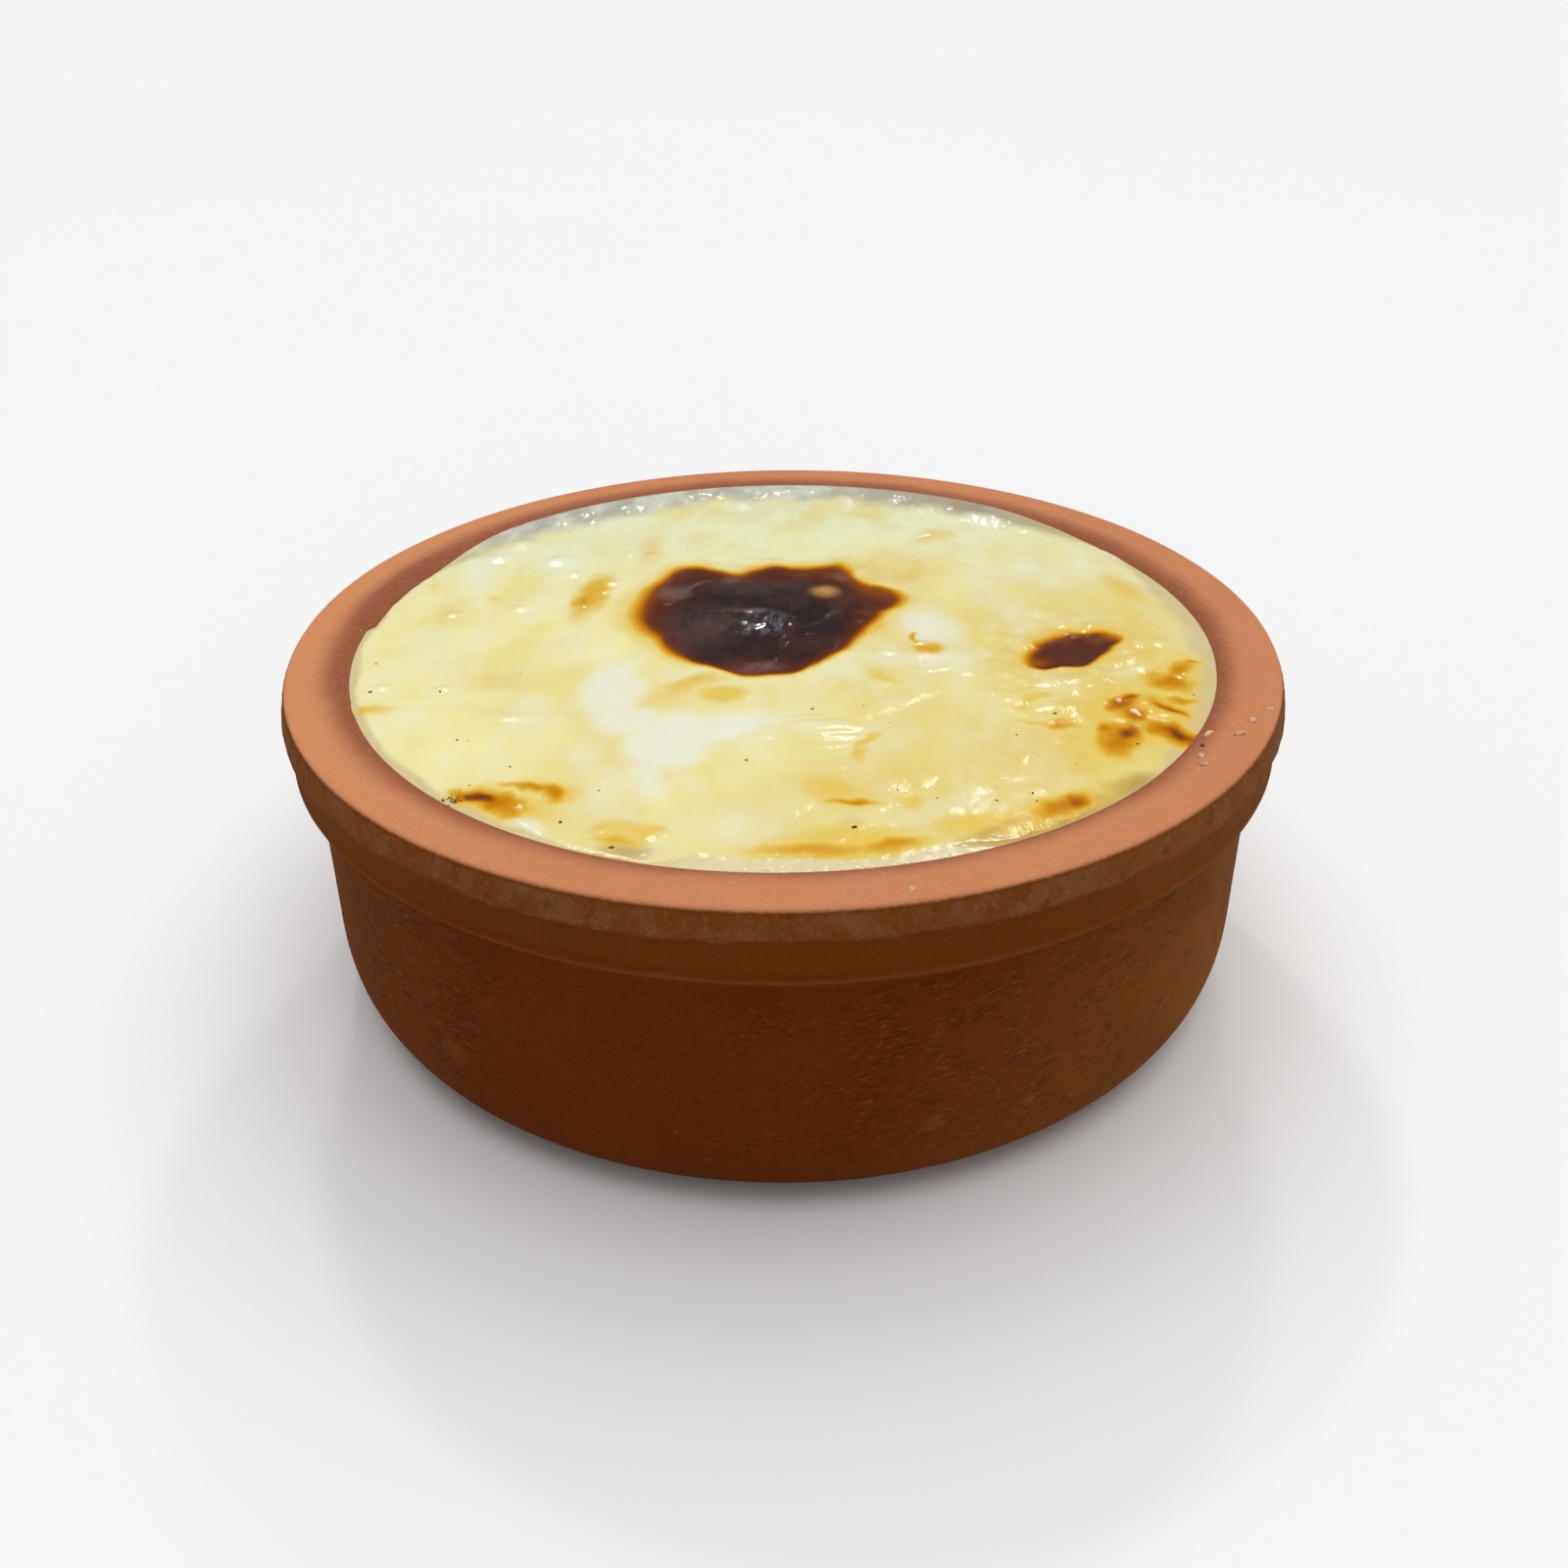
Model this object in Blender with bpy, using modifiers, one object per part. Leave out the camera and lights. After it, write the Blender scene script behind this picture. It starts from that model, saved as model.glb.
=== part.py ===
"""Baked rice pudding in its round clay bowl, in metres, +Z up, standing on z = 0.

The bowl is one turned piece of fired clay with a thick collar round its rim.
The pudding fills it to just under the rim, and its baked skin lies in low waves.
"""

import math

import bpy

# Driving dimensions
RIM_RADIUS = 0.060           # top outer edge of the collar
BOWL_HEIGHT = 0.0417
BODY_RADIUS = 0.0578         # widest part of the wall below the collar
FOOT_RADIUS = 0.0465         # flat disc the bowl stands on
FOOT_CURVE_HEIGHT = 0.012    # where the wall starts to turn in towards the foot
FOOT_CURVE_POWER = 2.6       # 2 is an ellipse, higher is squarer
BAND_HEIGHT = 0.0034         # rough upper band of the collar
BAND_FLARE = 0.0006          # how far the band leans out at its lower edge
COLLAR_HEIGHT = 0.0085       # rim top to the collar's lower edge
COLLAR_UNDERCUT = 0.0021     # height of the slope from the collar back to the wall
EDGE_RADIUS = 0.0004         # worn outer edge of the rim
RIM_FLAT = 0.0046            # flat of the rim, from its outer edge inwards
LIP_RADIUS = 0.0046          # rounding from that flat into the bowl
FLOOR_THICKNESS = 0.0065
FLOOR_CORNER = 0.009         # rounding between the inner wall and the floor
INNER_TAPER = 0.0012         # how much narrower the inside is at the floor
FILL_DROP = 0.0008           # rim top to the edge of the pudding
GAP = 0.0003                 # clearance between the pudding and the clay
SKIN_WAVE = 0.00022          # half height of the skin's low waves
WAVE_SCALE_X = 0.0065        # the waves' scale across the dish
WAVE_SCALE_Y = 0.0085        # and along it
WAVE_BEND = 1.2              # how far the waves wander from straight rows
WAVE_BEND_SCALE = 0.013
BRIM_FADE_POWER = 6          # higher keeps the waves closer to the brim
BLISTER_LIFT = 0.0005        # swelling under the large browned patch
BLISTER_RADIUS = 0.016
BLISTER_CENTRE = (-0.002, 0.008)
BOWL_STEPS = 96
PUDDING_STEPS = 72
LIP_STEPS = 8
EDGE_STEPS = 3
CORNER_STEPS = 5
FOOT_STEPS = 9
BRIM_STEPS = 3
SKIN_RINGS = 9
MERGE = 0.00005

# Radius and height from which the lip's rounding is struck
LIP_CENTRE_RADIUS = RIM_RADIUS - RIM_FLAT
LIP_CENTRE_HEIGHT = BOWL_HEIGHT - LIP_RADIUS
INNER_RADIUS = LIP_CENTRE_RADIUS - LIP_RADIUS


def clear_scene():
    for obj in list(bpy.data.objects):
        bpy.data.objects.remove(obj)


def arc(centre, radius, start, end, steps):
    """Points (r, z) on an arc, angles in degrees from +r towards +z."""
    angles = [start + (end - start) * i / steps for i in range(steps + 1)]
    return [
        (
            centre[0] + radius * math.cos(math.radians(a)),
            centre[1] + radius * math.sin(math.radians(a)),
        )
        for a in angles
    ]


def foot_curve(steps):
    """Points (r, z) from the wall down to the foot, along a superellipse quarter."""
    points = []
    width = BODY_RADIUS - FOOT_RADIUS
    for i in range(steps + 1):
        angle = math.pi / 2 * i / steps
        share_out = math.cos(angle) ** (2 / FOOT_CURVE_POWER)
        share_down = math.sin(angle) ** (2 / FOOT_CURVE_POWER)
        points.append((FOOT_RADIUS + width * share_out, FOOT_CURVE_HEIGHT * (1 - share_down)))
    return points


def inside_curve(offset):
    """Points (r, z) of the bowl's inside up to the lip's springing, moved inwards by offset."""
    floor_radius = INNER_RADIUS - INNER_TAPER - offset
    floor_height = FLOOR_THICKNESS + offset
    corner = FLOOR_CORNER - offset
    centre = (floor_radius - corner, floor_height + corner)
    rounding = arc(centre, corner, -90, 0, CORNER_STEPS)
    return [(0.0, floor_height), *rounding, (INNER_RADIUS - offset, LIP_CENTRE_HEIGHT)]


def bowl_profile():
    """Half section of the clay, from the middle of the floor over the rim to the middle of the base."""
    lip = arc((LIP_CENTRE_RADIUS, LIP_CENTRE_HEIGHT), LIP_RADIUS, 180, 90, LIP_STEPS)
    edge_centre = (RIM_RADIUS - EDGE_RADIUS, BOWL_HEIGHT - EDGE_RADIUS)
    edge = arc(edge_centre, EDGE_RADIUS, 90, 0, EDGE_STEPS)
    collar_base = BOWL_HEIGHT - COLLAR_HEIGHT
    collar = [
        (RIM_RADIUS + BAND_FLARE, BOWL_HEIGHT - BAND_HEIGHT),
        (RIM_RADIUS, collar_base),
        (BODY_RADIUS, collar_base - COLLAR_UNDERCUT),
    ]
    return [*inside_curve(0.0)[:-1], *lip, *edge, *collar, *foot_curve(FOOT_STEPS), (0.0, 0.0)]


def pudding_profile():
    """Half section of the pudding, from the middle of its skin out and down to the middle of its base."""
    level = BOWL_HEIGHT - FILL_DROP
    lip_radius = LIP_RADIUS + GAP
    rise = level - LIP_CENTRE_HEIGHT
    brim_angle = 180 - math.degrees(math.asin(rise / lip_radius))
    wall = arc((LIP_CENTRE_RADIUS, LIP_CENTRE_HEIGHT), lip_radius, brim_angle, 180, BRIM_STEPS)
    skin = [(wall[0][0] * i / SKIN_RINGS, level) for i in range(SKIN_RINGS)]
    return [*skin, *wall, *reversed(inside_curve(GAP)[:-1])]


def skin_lift(x, y):
    """Height of the baked skin above the fill level at (x, y)."""
    bend = WAVE_BEND * math.sin(y / WAVE_BEND_SCALE)
    waves = math.sin(x / WAVE_SCALE_X + bend) * math.cos(y / WAVE_SCALE_Y)
    away = math.hypot(x - BLISTER_CENTRE[0], y - BLISTER_CENTRE[1]) / BLISTER_RADIUS
    blister = max(0.0, 1 - away * away) ** 2
    return SKIN_WAVE * waves + BLISTER_LIFT * blister


def add_turned(name, profile, steps):
    """Object with the profile (r, z) turned round the z axis."""
    mesh = bpy.data.meshes.new(name)
    edges = [(i, i + 1) for i in range(len(profile) - 1)]
    mesh.from_pydata([(r, 0.0, z) for r, z in profile], edges, [])
    obj = bpy.data.objects.new(name, mesh)
    screw = obj.modifiers.new("turn", "SCREW")
    screw.steps = steps
    screw.render_steps = steps
    screw.use_merge_vertices = True
    screw.merge_threshold = MERGE
    return obj


def finish_material(obj, name, colour, roughness):
    material = bpy.data.materials.new(name)
    material.use_nodes = True
    shader = material.node_tree.nodes["Principled BSDF"]
    shader.inputs["Base Color"].default_value = (*colour, 1.0)
    shader.inputs["Roughness"].default_value = roughness
    shader.inputs["Metallic"].default_value = 0.0
    obj.data.materials.append(material)


def add_bowl(collection):
    bowl = add_turned("bowl", bowl_profile(), BOWL_STEPS)
    collection.objects.link(bowl)
    finish_material(bowl, "fired clay", (0.42, 0.17, 0.075), 0.8)


def add_pudding(collection):
    """The turned body first, then its skin is lifted into waves that die out at the brim."""
    body = add_turned("pudding_turned", pudding_profile(), PUDDING_STEPS)
    collection.objects.link(body)
    graph = bpy.context.evaluated_depsgraph_get()
    mesh = bpy.data.meshes.new_from_object(body.evaluated_get(graph))
    bpy.data.objects.remove(body)
    pudding = bpy.data.objects.new("pudding", mesh)
    collection.objects.link(pudding)
    level = BOWL_HEIGHT - FILL_DROP
    brim = pudding_profile()[SKIN_RINGS][0]
    for vertex in mesh.vertices:
        x, y, z = vertex.co
        if abs(z - level) < MERGE:
            fade = max(0.0, 1 - (math.hypot(x, y) / brim) ** BRIM_FADE_POWER)
            vertex.co.z += fade * skin_lift(x, y)
    mesh.shade_smooth()
    finish_material(pudding, "baked milk pudding", (0.86, 0.74, 0.38), 0.3)


def main():
    clear_scene()
    collection = bpy.data.collections.new("rice_pudding")
    bpy.context.scene.collection.children.link(collection)
    add_bowl(collection)
    add_pudding(collection)


main()
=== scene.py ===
"""Looks for a baked rice pudding in its turned clay bowl.

Five operators make the bowl, the pudding, the foam, the specks with the crumbs, and the stage.
Run as a script, this file calls them in that order, hangs the pieces under the body's empty and
hides the model's parts they replace. Settings are in metres and radians. Tables of places, the
skin's shape, radii and depths below the rim are in millimetres from the bowl's axis, x to the
right and y to the back, with turns in degrees.
"""

import math

import bpy
import numpy as np
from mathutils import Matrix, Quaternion, Vector


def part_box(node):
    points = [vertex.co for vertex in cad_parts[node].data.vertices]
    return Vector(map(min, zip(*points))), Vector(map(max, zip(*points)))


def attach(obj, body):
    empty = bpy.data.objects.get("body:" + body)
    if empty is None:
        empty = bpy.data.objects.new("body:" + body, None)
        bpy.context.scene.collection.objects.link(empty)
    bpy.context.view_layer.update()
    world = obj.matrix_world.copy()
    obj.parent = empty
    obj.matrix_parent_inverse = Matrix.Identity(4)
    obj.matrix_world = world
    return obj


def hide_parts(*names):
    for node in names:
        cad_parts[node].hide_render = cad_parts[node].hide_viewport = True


bl_info = {
    "name": "Baked rice pudding",
    "version": (1, 0, 0),
    "blender": (4, 5, 0),
    "location": "3D View > Sidebar > Pudding",
    "description": "Makes a baked rice pudding in a turned clay bowl",
    "category": "Mesh",
}

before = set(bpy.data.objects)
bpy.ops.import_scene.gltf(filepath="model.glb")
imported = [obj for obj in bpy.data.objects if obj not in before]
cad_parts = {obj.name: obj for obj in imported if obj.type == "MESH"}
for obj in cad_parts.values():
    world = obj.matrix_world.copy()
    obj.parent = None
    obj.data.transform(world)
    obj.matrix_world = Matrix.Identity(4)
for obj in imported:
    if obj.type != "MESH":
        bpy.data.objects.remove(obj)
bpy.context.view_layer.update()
BOWL_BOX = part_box("bowl")
PUDDING_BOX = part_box("pudding")

MM = 0.001
BOWL_TOP = BOWL_BOX[1].z
BODY = "root"


def tint(red, green, blue):
    """Display values of 0 to 255 as linear light."""
    shares = [value / 255 for value in (red, green, blue)]
    return tuple(s / 12.92 if s <= 0.04045 else ((s + 0.055) / 1.055) ** 2.4 for s in shares)


# Shades of the clay, with painted light and shade among them
REDDER_WALL = tint(88, 34, 0)
LEFT_WALL_PAINTED_LIGHT = tint(122, 66, 10)
GROOVE_SHADE = tint(104, 62, 8)
BAND_SHADE = tint(130, 82, 34)
RIDGE_PAINTED_HIGHLIGHT = tint(142, 94, 56)
RECESS_PAINTED_SHADE = tint(48, 20, 6)
DRAG_PAINTED_HIGHLIGHT = tint(140, 88, 40)
SCUFF_SHADE = tint(170, 118, 72)
BROWNER_RIM = tint(200, 128, 86)
LEFT_RIM_PAINTED_LIGHT = tint(222, 150, 102)
WALL_GRAIN = tint(176, 112, 44)
RIM_GRAIN = tint(230, 172, 132)
DARK_GRAIN = tint(64, 26, 4)

# Shades worked into the skin; the ashy shade is partly a painted highlight
CURD = tint(244, 242, 206)
PALE_CLOUD = tint(245, 243, 210)
YELLOW_CLOUD = tint(240, 224, 122)
BETWEEN_LUMPS = tint(234, 202, 96)
LUMP_TOP = tint(246, 240, 192)
THIN_SKIN = tint(170, 128, 54)
FILM_AT_SIDE = tint(214, 197, 148)
FILM_AT_FRONT = tint(230, 217, 178)
# The wet film at the back: its paler and duller shade, on the left and on the right
PALE_FILM = (tint(216, 218, 208), tint(152, 132, 116))
DULL_FILM = (tint(174, 172, 166), tint(166, 152, 138))
FIRST_BROWNING = tint(238, 212, 118)
ASH_AND_HIGHLIGHT_SHADE = tint(136, 112, 110)
CRUST_CLOUD = tint(112, 74, 66)
KNOT_SHEEN = tint(122, 126, 134)
TAN_SHADE = tint(208, 162, 96)


# ---------------------------------------------------------------- settings


def length(name, description, default):
    return bpy.props.FloatProperty(
        name=name, description=description, default=default, unit="LENGTH", precision=5
    )


def colour(name, description, default):
    return bpy.props.FloatVectorProperty(
        name=name, description=description, default=default, subtype="COLOR", size=3, min=0, max=1
    )


class ClaySettings(bpy.types.PropertyGroup):
    """Sizes and colours of the bowl."""

    height: length("Height", "Foot to rim", BOWL_TOP)
    rim_radius: length("Rim radius", "Outer edge of the rim's flat top", BOWL_BOX[1].x - 0.6 * MM)
    rim_flat: length("Rim flat", "Width of the flat on top of the rim", 4.6 * MM)
    lip_radius: length("Lip radius", "Rounding from the flat into the bowl", 4.6 * MM)
    band_height: length("Band height", "Gritty band below the rim", 3.4 * MM)
    band_flare: length("Band flare", "How far the band leans out", 0.6 * MM)
    collar_height: length("Collar height", "Rim to the fine ridge under the collar", 8.5 * MM)
    body_radius: length("Body radius", "Wall below the collar", 57.8 * MM)
    foot_radius: length("Foot radius", "Flat the bowl stands on", 46.5 * MM)
    foot_curve: length("Foot curve", "Height where the wall turns in", 12 * MM)
    wobble: length("Wobble", "Unevenness from the wheel", 0.14 * MM)
    grit_depth: length("Grit depth", "Roughness of the band", 0.26 * MM)
    drag_depth: length("Drag depth", "Torn marks in the wall", 0.15 * MM)
    rim_colour: colour("Rim", "Clean fired clay on the rim", tint(208, 137, 94))
    # The wall colour is mostly painted shade: the rim's clay darkened as if out of the light
    shaded_wall_colour: colour("Wall", "Darker clay of the wall", tint(97, 42, 0))
    # Painted light: the wall paler to the right, as if lit from that side
    lit_right_wall_colour: colour("Pale wall", "Paler clay on the right", tint(132, 80, 28))
    # Lip colour: milk staining, partly painted shade on the inner lip at the back and left
    stain_and_shade_colour: colour("Lip stain", "Milk stain on the inner lip", tint(157, 93, 66))
    dust_colour: colour("Dust", "Grey dust on the band", tint(140, 100, 80))
    turns: bpy.props.IntProperty(name="Turns", description="Steps round the bowl", default=512)


class PuddingSettings(bpy.types.PropertyGroup):
    """Sizes and colours of the pudding."""

    reach: length("Reach", "Radius of the skin, just into the clay", 53.7 * MM)
    level: length("Level", "Height of the skin at the brim", BOWL_TOP - 0.8 * MM)
    wave: length("Waves", "Half height of the low waves", 0.2 * MM)
    blister: length("Blister", "Swelling under the large burn", 0.5 * MM)
    cream: colour("Cream", "Palest skin", tint(249, 241, 174))
    butter: colour("Butter", "Yellower skin", tint(238, 222, 144))
    gold: colour("Gold", "Golden patches", tint(236, 202, 82))
    amber: colour("Amber", "Edges of burns", tint(218, 148, 0))
    copper: colour("Copper", "Orange brown in the edges", tint(184, 106, 0))
    russet: colour("Russet", "Brown inside the edges", tint(136, 66, 4))
    maroon: colour("Maroon", "Dark burnt skin", tint(94, 43, 20))
    char: colour("Char", "Darkest burnt skin", tint(42, 30, 29))
    pale: colour("Pale", "Duller skin at the back", tint(240, 242, 194))
    # The milk colour also paints highlights on the skin
    milk: colour("Milk", "White milky patches", tint(243, 244, 224))
    whey: colour("Whey", "Wet grey skin at the brim", tint(200, 192, 148))
    rings: bpy.props.IntProperty(name="Rings", description="Steps from middle to brim", default=145)


class StageSettings(bpy.types.PropertyGroup):
    """Camera, floor and lights."""

    distance: length("Distance", "Camera to the middle of the rim", 3.264 * 60 * MM)
    elevation: bpy.props.FloatProperty(
        name="Elevation", description="Camera above the rim", default=math.radians(24.94), subtype="ANGLE"
    )
    tilt: bpy.props.FloatProperty(
        name="Tilt", description="Camera aimed below the rim", default=math.radians(5.57), subtype="ANGLE"
    )
    roll: bpy.props.FloatProperty(
        name="Roll", description="Camera leaning to the right", default=math.radians(0.55), subtype="ANGLE"
    )
    floor_colour: colour("Floor", "Plain pale floor", (0.95, 0.95, 0.95))


# ---------------------------------------------------------------- node trees


class Wire:
    """The output of a node. Arithmetic on it adds Math nodes to its tree."""

    def __init__(self, board, node, socket):
        self.board = board
        self.node = node
        self.socket = socket

    def out(self, name):
        return Wire(self.board, self.node, pick(self.node.outputs, name))

    def __add__(self, other):
        return self.board.maths("ADD", self, other)

    __radd__ = __add__

    def __sub__(self, other):
        return self.board.maths("SUBTRACT", self, other)

    def __rsub__(self, other):
        return self.board.maths("SUBTRACT", other, self)

    def __mul__(self, other):
        return self.board.maths("MULTIPLY", self, other)

    __rmul__ = __mul__

    def __truediv__(self, other):
        return self.board.maths("DIVIDE", self, other)

    def __rtruediv__(self, other):
        return self.board.maths("DIVIDE", other, self)

    def __pow__(self, other):
        return self.board.maths("POWER", self, other)

    def __abs__(self):
        return self.board.maths("ABSOLUTE", self)


def pick(sockets, key):
    """The socket with that name or place, among those in use."""
    used = [s for s in sockets if not s.is_unavailable]
    return used[key] if isinstance(key, int) else next(s for s in used if s.name == key)


class Board:
    """A node tree with one short way to add nodes to it."""

    def __init__(self, tree):
        self.tree = tree

    def add(self, kind, settings=None, inputs=None, output=0):
        node = self.tree.nodes.new(kind)
        for name, value in (settings or {}).items():
            if name == "stops":
                self.set_stops(node.color_ramp, value)
            else:
                setattr(node, name, value)
        for key, value in (inputs or {}).items():
            socket = pick(node.inputs, key)
            if isinstance(value, Wire):
                self.tree.links.new(value.socket, socket)
            elif socket.type == "RGBA":
                socket.default_value = (*value[:3], 1.0)
            else:
                socket.default_value = value
        return Wire(self, node, pick(node.outputs, output) if len(node.outputs) else None)

    @staticmethod
    def set_stops(ramp, stops):
        while len(ramp.elements) < len(stops):
            ramp.elements.new(1.0)
        for element, (place, shade) in zip(ramp.elements, stops):
            element.position = place
            element.color = (*shade[:3], 1.0)

    def maths(self, operation, *values):
        return self.add("ShaderNodeMath", {"operation": operation}, dict(enumerate(values)))

    def highest(self, first, second):
        return self.maths("MAXIMUM", first, second)

    def smooth(self, value, low, high):
        """0 below low and 1 above high, with a soft step between."""
        return self.add(
            "ShaderNodeMapRange",
            {"interpolation_type": "SMOOTHSTEP"},
            {"Value": value, "From Min": low, "From Max": high},
        )

    def mix(self, share, first, second, mode="MIX"):
        return self.add(
            "ShaderNodeMix",
            {"data_type": "RGBA", "blend_type": mode},
            {"Factor": share, "A": first, "B": second},
        )

    def split(self, vector):
        node = self.add("ShaderNodeSeparateXYZ", None, {0: vector})
        return node.out("X"), node.out("Y"), node.out("Z")

    def join(self, x, y, z):
        return self.add("ShaderNodeCombineXYZ", None, {0: x, 1: y, 2: z})

    def noise(self, place, size, detail=2.0, rough=0.5):
        """Cloudy value of about 0.2 to 0.8 with lumps of that size in metres."""
        return self.add(
            "ShaderNodeTexNoise",
            None,
            {"Vector": place, "Scale": 1 / size, "Detail": detail, "Roughness": rough},
        )

    def field(self, name):
        """A value kept at each point of the mesh."""
        return self.add("ShaderNodeAttribute", {"attribute_name": name}, output="Fac")

    def distance(self, place, point):
        ends = {0: place, 1: point}
        return self.add("ShaderNodeVectorMath", {"operation": "DISTANCE"}, ends, output="Value")

    def near(self, place, point, full, none):
        """1 within the first distance of the point, in mm, and 0 past the second."""
        off = self.distance(place, [value * MM for value in point])
        return 1 - self.smooth(off, full * MM, none * MM)


def new_tree(name, inputs):
    """A Geometry Nodes tree with those inputs: its board, its input wires and its identifiers."""
    tree = bpy.data.node_groups.new(name, "GeometryNodeTree")
    tree.interface.new_socket("Geometry", in_out="OUTPUT", socket_type="NodeSocketGeometry")
    tree.interface.new_socket("Geometry", in_out="INPUT", socket_type="NodeSocketGeometry")
    identifiers = {}
    for label, kind in inputs.items():
        socket = tree.interface.new_socket(label, in_out="INPUT", socket_type="NodeSocket" + kind)
        identifiers[label] = socket.identifier
    board = Board(tree)
    entry = board.add("NodeGroupInput")
    wires = {label: entry.out(label) for label in ["Geometry", *inputs]}
    return board, wires, identifiers


def close_tree(board, geometry, material):
    """Ends the tree: real geometry, smooth, with its material."""
    real = board.add("GeometryNodeRealizeInstances", None, {"Geometry": geometry})
    smooth = board.add("GeometryNodeSetShadeSmooth", None, {"Geometry": real})
    done = board.add("GeometryNodeSetMaterial", None, {"Geometry": smooth, "Material": material})
    board.add("NodeGroupOutput", None, {0: done})


def grow(name, mesh, tree, identifiers, values):
    """Object made by the tree from the mesh, as a plain mesh with no modifier."""
    obj = bpy.data.objects.new(name, mesh)
    bpy.context.scene.collection.objects.link(obj)
    modifier = obj.modifiers.new(name, "NODES")
    modifier.node_group = tree
    for label, value in values.items():
        modifier[identifiers[label]] = value
    bpy.context.view_layer.update()
    graph = bpy.context.evaluated_depsgraph_get()
    grown = bpy.data.meshes.new_from_object(obj.evaluated_get(graph))
    obj.modifiers.clear()
    obj.data = grown
    grown.name = name
    return obj


def place(obj, slot, *replaced):
    """Hangs a finished piece under the body's empty and hides the model's parts it replaces."""
    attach(obj, BODY)
    if replaced:
        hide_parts(*replaced)


def new_material(name):
    material = bpy.data.materials.new(name)
    material.use_nodes = True
    material.node_tree.nodes.clear()
    return material, Board(material.node_tree)


def finish_material(board, sockets, fixed):
    """Ends a shader tree; sockets take links and fixed ones take plain values."""
    shader = board.add("ShaderNodeBsdfPrincipled", None, {**fixed, **sockets})
    board.add("ShaderNodeOutputMaterial", None, {"Surface": shader})


# ---------------------------------------------------------------- clay bowl


def arc(centre, radius, start, end, steps):
    """Points (r, z) on an arc, angles in degrees from +r towards +z."""
    angles = np.radians(np.linspace(start, end, steps + 1))
    return [(centre[0] + radius * math.cos(a), centre[1] + radius * math.sin(a)) for a in angles]


def in_steps(points, longest):
    """The same outline with no step longer than that."""
    outline = [points[0]]
    for (r0, z0), (r1, z1) in zip(points, points[1:]):
        count = max(1, math.ceil(math.hypot(r1 - r0, z1 - z0) / longest))
        outline += [(r0 + (r1 - r0) * i / count, z0 + (z1 - z0) * i / count) for i in range(1, count + 1)]
    return outline


def bowl_outline(clay):
    """Half section from the middle of the floor over the rim to the middle of the base."""
    fine, coarse = 0.38 * MM, 5 * MM
    floor, corner, undercut = 6.5 * MM, 9 * MM, 1.2 * MM
    worn = 0.5 * MM
    collar_slope = 2.1 * MM
    fullness = 2 / 2.6
    lip_centre = (clay.rim_radius - clay.rim_flat, clay.height - clay.lip_radius)
    inner = lip_centre[0] - clay.lip_radius
    hollow = [(0.0, floor), *arc((inner - undercut - corner, floor + corner), corner, -90, 0, 3)]
    lip = arc(lip_centre, clay.lip_radius, 180, 90, 16)
    edge = arc((clay.rim_radius - worn, clay.height - worn), worn, 90, 0, 4)
    collar_base = clay.height - clay.collar_height
    collar = [
        (clay.rim_radius + clay.band_flare, clay.height - clay.band_height),
        (clay.rim_radius, collar_base),
        (clay.body_radius, collar_base - collar_slope),
        (clay.body_radius, clay.foot_curve),
    ]
    foot = []
    for angle in np.linspace(0, math.pi / 2, 25)[1:]:
        out = math.cos(angle) ** fullness
        down = math.sin(angle) ** fullness
        radius = clay.foot_radius + (clay.body_radius - clay.foot_radius) * out
        foot.append((radius, clay.foot_curve * (1 - down)))
    inside = in_steps([*hollow, lip[0]], coarse)
    shown = in_steps([*lip, *edge, *collar], fine)
    lower = in_steps([collar[-1], *foot], 2 * fine)
    base = in_steps([(clay.foot_radius, 0.0), (0.0, 0.0)], 4 * coarse)
    return [*inside[:-1], *shown, *lower[1:], *base[1:]]


def outline_mesh(outline):
    """The half section as a chain of points, for the tree to turn."""
    mesh = bpy.data.meshes.new("outline")
    mesh.from_pydata([(r, 0.0, z) for r, z in outline], [(i, i + 1) for i in range(len(outline) - 1)], [])
    return mesh


def turn_outline(board, given):
    """Sweeps the outline's points round the z axis as one closed skin."""
    outline = given["Geometry"]
    count = board.add("GeometryNodeAttributeDomainSize", {"component": "MESH"}, {"Geometry": outline})
    grid = board.add(
        "GeometryNodeMeshGrid",
        None,
        {"Size X": 1.0, "Size Y": 1.0, "Vertices X": given["Turns"] + 1, "Vertices Y": count},
    )
    at = board.add("GeometryNodeInputPosition")
    across, along, _ = board.split(at)
    row = board.maths("ROUND", (along + 0.5) * (count - 1))
    outline_at = board.add("GeometryNodeInputPosition")
    point = board.add(
        "GeometryNodeSampleIndex",
        {"data_type": "FLOAT_VECTOR", "domain": "POINT"},
        {"Geometry": outline, "Value": outline_at, "Index": row},
    )
    radius, _, height = board.split(point)
    angle = (across + 0.5) * (2 * math.pi)
    swept = board.join(
        radius * board.maths("COSINE", angle), radius * board.maths("SINE", angle), height
    )
    turned = board.add("GeometryNodeSetPosition", None, {"Geometry": grid, "Position": swept})
    closed = board.add("GeometryNodeMergeByDistance", None, {"Geometry": turned, "Distance": 0.005 * MM})
    return board.add("GeometryNodeFlipFaces", None, {"Mesh": closed})


# Places on the wall, x, y and z in mm: the two torn stretches, the nick at the foot and the wart
TORN_RIGHT = (27, -50, 24)
TORN_LEFT = (-41, -41, 21)
NICK = (-42.2, -36.2, 3.1)
WART = (-31.3, -48.6, 16.5)


def band_grit(board, at):
    """Lumps and holes of the gritty band, about -0.3 to 0.3 and 0 to 1."""
    lumps = board.noise(at, 0.9 * MM, 3.0, 0.6) - 0.5
    holes = board.smooth(board.noise(at, 1.1 * MM, 2.0), 0.6, 0.72)
    return lumps, holes


def torn_marks(board, at):
    """Short marks dragged round the wall: the deep ones, 0 to 1, and the fine grain between them."""
    x, y, z = board.split(at)
    flat = board.join(x * 0.3, y * 0.3, z - x * 0.2)
    deep = board.smooth(board.noise(flat, 0.8 * MM, 3.0, 0.65), 0.54, 0.66)
    return deep, board.noise(flat, 0.36 * MM, 2.0, 0.6)


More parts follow.
